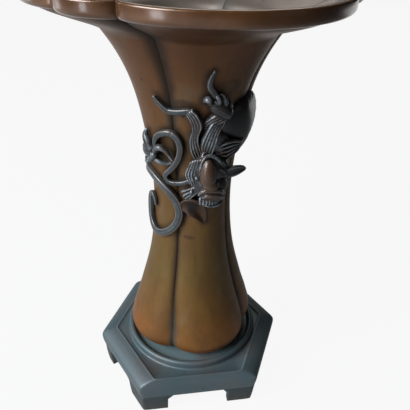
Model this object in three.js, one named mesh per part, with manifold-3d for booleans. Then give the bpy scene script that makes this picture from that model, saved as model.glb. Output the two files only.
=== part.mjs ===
// Bronze flower vase with an applied dragon, on a hexagonal stand.
// Millimetres, +Z up. The origin is under the vase's axis, on the surface that the feet stand on,
// and the stand's front side faces -Y. Azimuths are in degrees, from -Y towards +X.
import * as THREE from 'three';
import { mergeVertices } from 'three/addons/utils/BufferGeometryUtils.js';
import Module from 'manifold-3d';

const wasm = await Module();
wasm.setup();

// Fits
const CLEARANCE = 0.3;

// Stand
const STAND_FRONT = 59.6; // centre to the front and back sides, at the widest level
const STAND_SLANT = 66.2; // centre to the four slanted sides
const STAND_SLANT_ANGLE = 63.7; // from the front side's normal to a slanted side's normal
const STAND_FORWARD = 1.3; // the stand's centre lies this far in front of the vase's axis
const STAND_LEFT = 1.4; // and this far to its left
const STAND_WALL = 4.5;
const SKIRT_HEIGHT = 18.8; // lower edge of the slab's skirt
const WIDEST_HEIGHT = 28.6;
const RIDGE_HEIGHT = 36.2;
const RIDGE_STEP = 0.9; // the ridge stands this much above the panel inside it
const FLOOR_HEIGHT = 37.7; // the round floor that the vase stands on
const FLOOR_THICKNESS = 4.9;
const RING_RADIUS = 50.2; // crest of the raised ring round the floor
const RING_HALF_WIDTH = 1.7;
const RING_RISE = 3.5; // crest above the floor
const RING_COVE = 1.5; // hollow fillet between the ring and the panel

// Feet
const FOOT_ARM = 19; // length of a front or back foot along each side, at the ground
const SIDE_FOOT_ARM = 9; // the same, left and right feet
const FOOT_COVE = 4; // radius of the arch between two feet
const FOOT_TUCK_FRONT = 3.8; // a foot's inset at the ground, front and back sides
const FOOT_TUCK_SLANT = 3.4; // the same, slanted sides
const FOOT_BULGE_HEIGHT = 11;

// Fixing of the vase on its stand
const STUD_RADIUS = 3;
const STUD_HEAD_RADIUS = 6.5;
const STUD_HEAD_HEIGHT = 3;
const STUD_TAIL = 3; // length past the nut
const WASHER_RADIUS = 8;
const WASHER_THICKNESS = 1.5;
const NUT_RADIUS = 5.8;
const NUT_HEIGHT = 5;
const PLATE_THICKNESS = 2.5;

// Vase body: height above the foot, radius of a lobe's crest, depth of the grooves between lobes
const PROFILE = [
  { height: 0, crest: 36.2, groove: 7.0 },
  { height: 5, crest: 44.6, groove: 7.6 },
  { height: 13, crest: 49.2, groove: 7.8 },
  { height: 27, crest: 46.2, groove: 6.8 },
  { height: 48, crest: 39.4, groove: 5.0 },
  { height: 84, crest: 30.6, groove: 3.8 },
  { height: 126, crest: 27.4, groove: 3.4 },
  { height: 170, crest: 31.4, groove: 3.6 },
  { height: 208, crest: 39.9, groove: 3.6 },
  { height: 232, crest: 51.6, groove: 4.4 },
  { height: 248, crest: 65.4, groove: 7.0 },
  { height: 258, crest: 95.0, groove: 14.6 },
];
const VASE_TURN = 15; // the front lobe's centre
const LOBE_POWER = 0.6; // low values give full lobes and sharp grooves
const WALL = 2.6;
const FOOT_LAND = 3; // width of the foot's flat edge
const FOOT_LAND_HEIGHT = 3.2;
const FLARE_START = 238; // above this the four lobes turn into the scallops of the lip

// Lip: an upright band round the scalloped mouth
const LIP_HEIGHT = 8;
const LIP_THICKNESS = 4;
const LIP_RISE = 4; // above the body's edge
const LIP_ROUND = 0.9;
const CUSP_DEEP = 85.5; // radius at the cusps over the grooves
const CUSP_SHALLOW = 88;
const BROAD_BULGE = 14.8; // front and back lobes
const SMALL_BULGE = 6.8;
const SMALL_SPAN = 24; // degrees
const MEDIUM_BULGE = 8;

// Pins that hold the dragon's castings through the wall
const PIN_RADIUS = 1.3;
const PIN_REACH = 3.4; // length outside the wall
const PIN_HEAD_RADIUS = 3;
const PIN_HEAD_HEIGHT = 1.6;
const PIN_PLACES = [ // azimuth and height above the foot
  [8, 159], [28, 183], [48, 182], [84, 177], [110, 172], [172, 162], [218, 160], [-66, 164],
];

// Levels and radii that follow
const footHeight = FLOOR_HEIGHT + CLEARANCE;
const bodyHeight = PROFILE.at(-1).height;
const lipTop = footHeight + bodyHeight + LIP_RISE;
const lipInset = LIP_THICKNESS + CLEARANCE;
const holeRadius = STUD_RADIUS + CLEARANCE;
const roofHeight = FLOOR_HEIGHT - FLOOR_THICKNESS;
const panelHeight = RIDGE_HEIGHT - RIDGE_STEP;

const bronze = new THREE.MeshStandardMaterial({ color: 0x6b4a2c, roughness: 0.42, metalness: 0.7 });
const darkBronze = new THREE.MeshStandardMaterial({ color: 0x33271e, roughness: 0.45, metalness: 0.7 });
const dragonBronze = new THREE.MeshStandardMaterial({ color: 0x2a2320, roughness: 0.4, metalness: 0.7 });
const greyBronze = new THREE.MeshStandardMaterial({ color: 0x5a6a70, roughness: 0.5, metalness: 0.6 });
const footBronze = new THREE.MeshStandardMaterial({ color: 0x4b4641, roughness: 0.5, metalness: 0.6 });
const brass = new THREE.MeshStandardMaterial({ color: 0x9a7b45, roughness: 0.4, metalness: 0.9 });

const radians = THREE.MathUtils.degToRad;
const clamp01 = (value) => THREE.MathUtils.clamp(value, 0, 1);

// Solids

// Joins rings of points into one skin. The rings turn anticlockwise round the way they advance.
// 'capped' closes both ends with a fan, 'joined' runs the last ring into the first.
function skin(rings, ends) {
  const size = rings[0].length;
  const positions = rings.flat().flatMap((point) => point.toArray());
  const triangles = [];
  const last = ends === 'joined' ? rings.length : rings.length - 1;
  for (let ring = 0; ring < last; ring += 1) {
    const below = ring * size;
    const above = ((ring + 1) % rings.length) * size;
    for (let side = 0; side < size; side += 1) {
      const next = (side + 1) % size;
      triangles.push(below + side, below + next, above + next);
      triangles.push(below + side, above + next, above + side);
    }
  }
  if (ends === 'capped') {
    const first = positions.length / 3;
    [rings[0], rings.at(-1)].forEach((ring) => {
      const middle = ring.reduce((sum, point) => sum.add(point), new THREE.Vector3()).divideScalar(size);
      positions.push(...middle.toArray());
    });
    const top = (rings.length - 1) * size;
    for (let side = 0; side < size; side += 1) {
      const next = (side + 1) % size;
      triangles.push(first, next, side);
      triangles.push(first + 1, top + side, top + next);
    }
  }
  const vertProperties = new Float32Array(positions);
  const triVerts = new Uint32Array(triangles);
  return new wasm.Manifold(new wasm.Mesh({ numProp: 3, vertProperties, triVerts }));
}

// A solid from one of three.js's own closed geometries.
function solidOf(geometry) {
  const bare = geometry.clone();
  bare.deleteAttribute('normal');
  bare.deleteAttribute('uv');
  const merged = mergeVertices(bare, 1e-4);
  const vertProperties = new Float32Array(merged.attributes.position.array);
  const triVerts = new Uint32Array(merged.index.array);
  return new wasm.Manifold(new wasm.Mesh({ numProp: 3, vertProperties, triVerts }));
}

// An upright cylinder between two heights.
function drum(radius, low, high, sides = 32) {
  const geometry = new THREE.CylinderGeometry(radius, radius, high - low, sides);
  geometry.rotateX(Math.PI / 2);
  geometry.translate(0, 0, (low + high) / 2);
  return solidOf(geometry);
}

// A solid of revolution from [radius, height] points that start and end on the axis.
function turned(points, sides = 48) {
  const outline = points.map(([radius, height]) => new THREE.Vector2(radius, height));
  const geometry = new THREE.LatheGeometry(outline, sides);
  geometry.rotateX(Math.PI / 2);
  return solidOf(geometry);
}

function joined(solids) {
  return solids.reduce((sum, solid) => sum.add(solid));
}

// Vase wall

const profileCurve = new THREE.CatmullRomCurve3(
  PROFILE.map(({ height, crest, groove }) => new THREE.Vector3(crest, height, groove)),
  false,
  'centripetal',
);
const profilePoints = profileCurve.getPoints(40 * (PROFILE.length - 1));

function profileAt(height) {
  const above = profilePoints.findIndex((point) => point.y >= height);
  const high = above < 0 ? profilePoints.length - 1 : Math.max(above, 1);
  const low = profilePoints[high - 1];
  const part = (height - low.y) / (profilePoints[high].y - low.y);
  const point = low.clone().lerp(profilePoints[high], part);
  return { crest: point.x, groove: point.z };
}

// 0 in a groove, 1 on a lobe's crest.
function lobe(azimuth) {
  const across = THREE.MathUtils.euclideanModulo(azimuth - VASE_TURN + 45, 90) / 90;
  return Math.sin(Math.PI * across) ** LOBE_POWER;
}

// The lip's scallops: broad lobes front and back, and small, medium, small at each side.
const half = { deep: 45, shallow: 45 + SMALL_SPAN };
const scallops = [
  { start: -half.deep, end: half.deep, from: CUSP_DEEP, to: CUSP_DEEP, bulge: BROAD_BULGE, steps: 10 },
  { start: half.deep, end: half.shallow, from: CUSP_DEEP, to: CUSP_SHALLOW, bulge: SMALL_BULGE, steps: 3 },
  {
    start: half.shallow, end: 180 - half.shallow, from: CUSP_SHALLOW, to: CUSP_SHALLOW, bulge: MEDIUM_BULGE,
    steps: 5,
  },
  {
    start: 180 - half.shallow, end: 180 - half.deep, from: CUSP_SHALLOW, to: CUSP_DEEP, bulge: SMALL_BULGE,
    steps: 3,
  },
];

function lipRadius(azimuth) {
  const turn = THREE.MathUtils.euclideanModulo(azimuth - VASE_TURN + half.deep, 180) - half.deep;
  const { start, end, from, to, bulge } = scallops.find((scallop) => turn < scallop.end) ?? scallops[0];
  const across = clamp01((turn - start) / (end - start));
  return from + (to - from) * across + bulge * Math.sin(Math.PI * across) ** LOBE_POWER;
}

function wallRadius(azimuth, height) {
  const { crest, groove } = profileAt(height);
  const fourLobed = crest - groove * (1 - lobe(azimuth));
  const rise = clamp01((height - FLARE_START) / (bodyHeight - FLARE_START));
  const share = rise * rise * (3 - 2 * rise);
  return THREE.MathUtils.lerp(fourLobed, lipRadius(azimuth) - lipInset, share);
}

function wallSlope(azimuth, height) {
  const step = 0.5;
  const low = Math.max(height - step, 0);
  const high = Math.min(height + step, bodyHeight);
  return (wallRadius(azimuth, high) - wallRadius(azimuth, low)) / (high - low);
}

// Azimuths of the vase's facets: close together at the cusps and grooves.
const azimuths = [0, 180].flatMap((turn) => scallops.flatMap(({ start, end, steps }) => {
  const parts = Array.from({ length: steps }, (_, step) => (1 - Math.cos(Math.PI * step / steps)) / 2);
  return parts.map((part) => VASE_TURN + turn + start + (end - start) * part);
}));

function around(radiusAt, heightAt) {
  return azimuths.map((azimuth) => {
    const angle = radians(azimuth);
    const radius = radiusAt(azimuth);
    return new THREE.Vector3(radius * Math.sin(angle), -radius * Math.cos(angle), heightAt(azimuth));
  });
}

const outerHeights = [
  0, 2.5, 6, 13, 20, 30, 44, 62, 84, 110, 140, 170, 194, 214, 230, 242, 250, 255.5, bodyHeight,
];
const innerHeights = [bodyHeight, 252, 243, 228, 205, 170, 126, 84, 48, 24, 9];

const outerRings = (extra) => outerHeights.map((height) => (
  around((azimuth) => wallRadius(azimuth, height) + extra, () => footHeight + height)));

// The inner face lies one wall inside the outer one, square to it.
const innerRings = innerHeights.map((height) => {
  const square = (azimuth) => Math.hypot(1, wallSlope(azimuth, height));
  return around(
    (azimuth) => wallRadius(azimuth, height) - WALL / square(azimuth),
    (azimuth) => footHeight + height + WALL * wallSlope(azimuth, height) / square(azimuth),
  );
});

const landRadius = (azimuth) => wallRadius(azimuth, 0) - FOOT_LAND;
const landRings = [FOOT_LAND_HEIGHT, 0].map((height) => around(landRadius, () => footHeight + height));

// Everything within the wall's outer face, and a clearance more: it trims what is fixed to the wall.
const wallTrim = skin(outerRings(CLEARANCE), 'capped');

// Pins through the wall

function radialBar(azimuth, height, radius, from, to, sides) {
  const geometry = new THREE.CylinderGeometry(radius, radius, to - from, sides);
  geometry.translate(0, -(from + to) / 2, 0);
  geometry.rotateZ(radians(azimuth));
  geometry.translate(0, 0, height);
  return solidOf(geometry);
}

function pin(azimuth, level, extra) {
  const height = footHeight + level;
  const wall = wallRadius(azimuth, level);
  const inner = wall - WALL * Math.hypot(1, wallSlope(azimuth, level));
  const headTop = inner - 2 * CLEARANCE;
  const shank = radialBar(azimuth, height, PIN_RADIUS + extra, headTop - 1, wall + PIN_REACH + extra, 10);
  const headEnd = headTop - PIN_HEAD_HEIGHT - extra;
  const head = radialBar(azimuth, height, PIN_HEAD_RADIUS + extra, headEnd, headTop, 14);
  return shank.add(head);
}

const pins = PIN_PLACES.map(([azimuth, level]) => pin(azimuth, level, 0));
const pinHoles = joined(PIN_PLACES.map(([azimuth, level]) => pin(azimuth, level, CLEARANCE)));

const vaseBody = skin([...outerRings(0), ...innerRings, ...landRings], 'joined').subtract(pinHoles);

// Lip band: its section goes round from the inner lower corner, as [inset, drop] points.
const lipSection = [
  [LIP_THICKNESS, LIP_HEIGHT], [LIP_ROUND, LIP_HEIGHT], [0, LIP_HEIGHT - LIP_ROUND], [0, LIP_ROUND],
  [LIP_ROUND, 0], [LIP_THICKNESS - LIP_ROUND, 0], [LIP_THICKNESS, LIP_ROUND],
];
const lipBand = skin(
  lipSection.map(([inset, drop]) => around((azimuth) => lipRadius(azimuth) - inset, () => lipTop - drop)),
  'joined',
);

const plateLevels = [footHeight, footHeight + PLATE_THICKNESS];
const bottomPlate = skin(
  plateLevels.map((height) => around((azimuth) => landRadius(azimuth) - CLEARANCE, () => height)),
  'capped',
).subtract(drum(holeRadius, footHeight - 1, footHeight + PLATE_THICKNESS + 1, 24));

// Stand

const cornerNames = ['front_left', 'front_right', 'right', 'back_right', 'back_left', 'left'];

// The stand's six corners, with its front and slanted sides set in by the two insets.
function hexagon(frontInset, slantInset, height) {
  const front = STAND_FRONT - frontInset;
  const slant = STAND_SLANT - slantInset;
  const angle = radians(STAND_SLANT_ANGLE);
  const x = (slant - front * Math.cos(angle)) / Math.sin(angle);
  const tip = slant / Math.sin(angle);
  const outline = [[-x, -front], [x, -front], [tip, 0], [x, front], [-x, front], [-tip, 0]];
  return outline.map(([cornerX, cornerY]) => (
    new THREE.Vector3(cornerX - STAND_LEFT, cornerY - STAND_FORWARD, height)));
}

const skirtInset = [0.6, 1.7];
const slabLevels = [
  [...skirtInset, SKIRT_HEIGHT], [0.3, 0.8, 21.6], [0.1, 0.2, 25], [0, 0, WIDEST_HEIGHT], [0.3, 0.8, 31],
  [1.1, 3.5, 33.2], [2.0, 7.0, 34.9], [2.6, 10.2, 35.9], [3.1, 11.6, RIDGE_HEIGHT], [4.3, 12.8, panelHeight],
];
const cavityLevels = [
  [skirtInset[0] + STAND_WALL, skirtInset[1] + STAND_WALL, -1],
  [skirtInset[0] + STAND_WALL, skirtInset[1] + STAND_WALL, WIDEST_HEIGHT - 2],
  [skirtInset[0] + 2 * STAND_WALL, skirtInset[1] + 3 * STAND_WALL, roofHeight],
];
const hexSolid = (levels) => skin(levels.map((level) => hexagon(...level)), 'capped');
const cavity = hexSolid(cavityLevels);

const ringOuter = RING_RADIUS + RING_HALF_WIDTH;
const ringInner = RING_RADIUS - RING_HALF_WIDTH;
const ringTop = FLOOR_HEIGHT + RING_RISE;
const floorAndRing = turned([
  [0, roofHeight], [ringOuter, roofHeight], [ringOuter + RING_COVE, panelHeight],
  [ringOuter + 0.4 * RING_COVE, panelHeight + 0.4 * RING_COVE], [ringOuter, panelHeight + RING_COVE],
  [ringOuter, ringTop - RING_HALF_WIDTH],
  [RING_RADIUS + 0.7 * RING_HALF_WIDTH, ringTop - 0.3 * RING_HALF_WIDTH],
  [RING_RADIUS, ringTop], [RING_RADIUS - 0.7 * RING_HALF_WIDTH, ringTop - 0.3 * RING_HALF_WIDTH],
  [ringInner, ringTop - RING_HALF_WIDTH], [ringInner, FLOOR_HEIGHT], [0, FLOOR_HEIGHT],
]);
const well = drum(ringInner, FLOOR_HEIGHT, Math.max(ringTop, RIDGE_HEIGHT) + 1, 48);
const standSlab = hexSolid(slabLevels)
  .subtract(cavity)
  .subtract(well)
  .add(floorAndRing)
  .subtract(drum(holeRadius, roofHeight - 1, FLOOR_HEIGHT + 1, 24));

// Feet: what the arches between them leave of a low wall under the skirt

const footTop = SKIRT_HEIGHT - CLEARANCE;
const footLevels = [
  [FOOT_TUCK_FRONT, FOOT_TUCK_SLANT, 0], [2.7, 2.8, 4], [1.3, 2.1, FOOT_BULGE_HEIGHT],
  [...skirtInset, footTop],
];
const footCavity = [-1, footTop + 1].map((height) => (
  [FOOT_TUCK_FRONT + STAND_WALL, FOOT_TUCK_SLANT + STAND_WALL, height]));
const footWall = hexSolid(footLevels).subtract(hexSolid(footCavity));

// The arch's outline in its side's plane, from near to far; its top passes over the feet's top.
function archShape(near, far) {
  const shape = new THREE.Shape();
  const springing = footTop - FOOT_COVE;
  shape.moveTo(near, -1);
  shape.lineTo(far, -1);
  shape.lineTo(far, springing);
  shape.absarc(far - FOOT_COVE, springing, FOOT_COVE, 0, Math.PI / 2, false);
  shape.lineTo(far - FOOT_COVE, footTop + 1);
  shape.lineTo(near + FOOT_COVE, footTop + 1);
  shape.absarc(near + FOOT_COVE, springing, FOOT_COVE, Math.PI / 2, Math.PI, false);
  return shape;
}

const ground = hexagon(FOOT_TUCK_FRONT, FOOT_TUCK_SLANT, 0);
const footArms = cornerNames.map((name) => (['left', 'right'].includes(name) ? SIDE_FOOT_ARM : FOOT_ARM));
const archDepth = 8 * STAND_WALL;
const arches = joined(ground.map((corner, index) => {
  const after = (index + 1) % ground.length;
  const along = ground[after].clone().sub(corner);
  const shape = archShape(footArms[index], along.length() - footArms[after]);
  const extent = { depth: archDepth, bevelEnabled: false, curveSegments: 4 };
  const geometry = new THREE.ExtrudeGeometry(shape, extent);
  geometry.translate(0, 0, -archDepth / 2);
  along.normalize();
  const up = new THREE.Vector3(0, 0, 1);
  const basis = new THREE.Matrix4().makeBasis(along, up, along.clone().cross(up));
  geometry.applyMatrix4(basis.setPosition(corner));
  return solidOf(geometry);
}));
const footBlocks = footWall.subtract(arches);

// The wedge of space round one corner of the stand.
function cornerWedge(index) {
  const reach = hexagon(-STAND_WALL, -STAND_WALL, 0);
  const corner = reach[index];
  const before = corner.clone().lerp(reach[(index + 5) % 6], 0.5);
  const after = corner.clone().lerp(reach[(index + 1) % 6], 0.5);
  const outline = [new THREE.Vector3(-STAND_LEFT, -STAND_FORWARD, 0), before, corner, after];
  const rings = [-2, footTop + 2].map((height) => outline.map(({ x, y }) => new THREE.Vector3(x, y, height)));
  return skin(rings, 'capped');
}
const feet = cornerNames.map((_, index) => footBlocks.intersect(cornerWedge(index)));

// Stud, washer and nut on the vase's axis

const studHeadBase = footHeight + PLATE_THICKNESS + CLEARANCE;
const washerTop = roofHeight - CLEARANCE;
const nutTop = washerTop - WASHER_THICKNESS - CLEARANCE;
const studEnd = nutTop - NUT_HEIGHT - STUD_TAIL;
const tieStud = turned([
  [0, studEnd], [STUD_RADIUS - 0.6, studEnd], [STUD_RADIUS, studEnd + 0.6], [STUD_RADIUS, studHeadBase],
  [STUD_HEAD_RADIUS, studHeadBase], [STUD_HEAD_RADIUS, studHeadBase + 0.5 * STUD_HEAD_HEIGHT],
  [0.6 * STUD_HEAD_RADIUS, studHeadBase + 0.9 * STUD_HEAD_HEIGHT], [0, studHeadBase + STUD_HEAD_HEIGHT],
], 24);
const tieWasher = drum(WASHER_RADIUS, washerTop - WASHER_THICKNESS, washerTop, 28)
  .subtract(drum(holeRadius, washerTop - WASHER_THICKNESS - 1, washerTop + 1, 24));
const tieNut = drum(NUT_RADIUS, nutTop - NUT_HEIGHT, nutTop, 6)
  .subtract(drum(holeRadius, nutTop - NUT_HEIGHT - 1, nutTop + 1, 24));

// Dragon: castings fixed on the wall, cut to it and to each other

const BRIDGE = 0.3; // a casting dips this share of the way into a groove that it crosses

// A point above the wall. Castings ride over the grooves, so most of a groove's depth is left out.
function onWall(azimuth, level, lift) {
  const { crest, groove } = profileAt(level);
  const radius = crest - BRIDGE * groove * (1 - lobe(azimuth)) + lift;
  const angle = radians(azimuth);
  return new THREE.Vector3(radius * Math.sin(angle), -radius * Math.cos(angle), footHeight + level);
}

function wallNormal(azimuth, level) {
  const low = profileAt(level - 1).crest;
  const high = profileAt(level + 1).crest;
  const angle = radians(azimuth);
  return new THREE.Vector3(Math.sin(angle), -Math.cos(angle), (low - high) / 2).normalize();
}

// A limb or strand along the wall. Its route lists azimuth, height above the foot, the middle's lift
// above the wall, half width and half depth; a growth makes it thicker and longer all round.
function limb(route, steps, sides, growth = 0) {
  const places = new THREE.CatmullRomCurve3(route.map(([azimuth, level, lift]) => (
    new THREE.Vector3(azimuth, level, lift))), false, 'catmullrom', 0.5);
  const sizes = new THREE.CatmullRomCurve3(route.map(([, , , width, depth]) => (
    new THREE.Vector3(width, depth, 0))), false, 'catmullrom', 0.5);
  const centres = places.getPoints(steps).map(({ x, y, z }) => (
    { azimuth: x, level: y, middle: onWall(x, y, z) }));
  const rings = centres.map(({ azimuth, level, middle }, step) => {
    const before = centres[Math.max(step - 1, 0)].middle;
    const after = centres[Math.min(step + 1, steps)].middle;
    const forward = after.clone().sub(before).normalize();
    const normal = wallNormal(azimuth, level);
    normal.addScaledVector(forward, -normal.dot(forward)).normalize();
    const sideways = forward.clone().cross(normal);
    const size = sizes.getPoint(step / steps);
    const end = Math.min(step, steps - step);
    const blunt = [0.5, 0.85][end] ?? 1;
    const shift = step === 0 ? -growth : step === steps ? growth : 0;
    return Array.from({ length: sides }, (_, side) => {
      const angle = 2 * Math.PI * side / sides;
      const point = middle.clone().addScaledVector(forward, shift);
      point.addScaledVector(normal, (size.y * blunt + growth) * Math.cos(angle));
      return point.addScaledVector(sideways, (size.x * blunt + growth) * Math.sin(angle));
    });
  });
  return skin(rings, 'capped');
}

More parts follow.
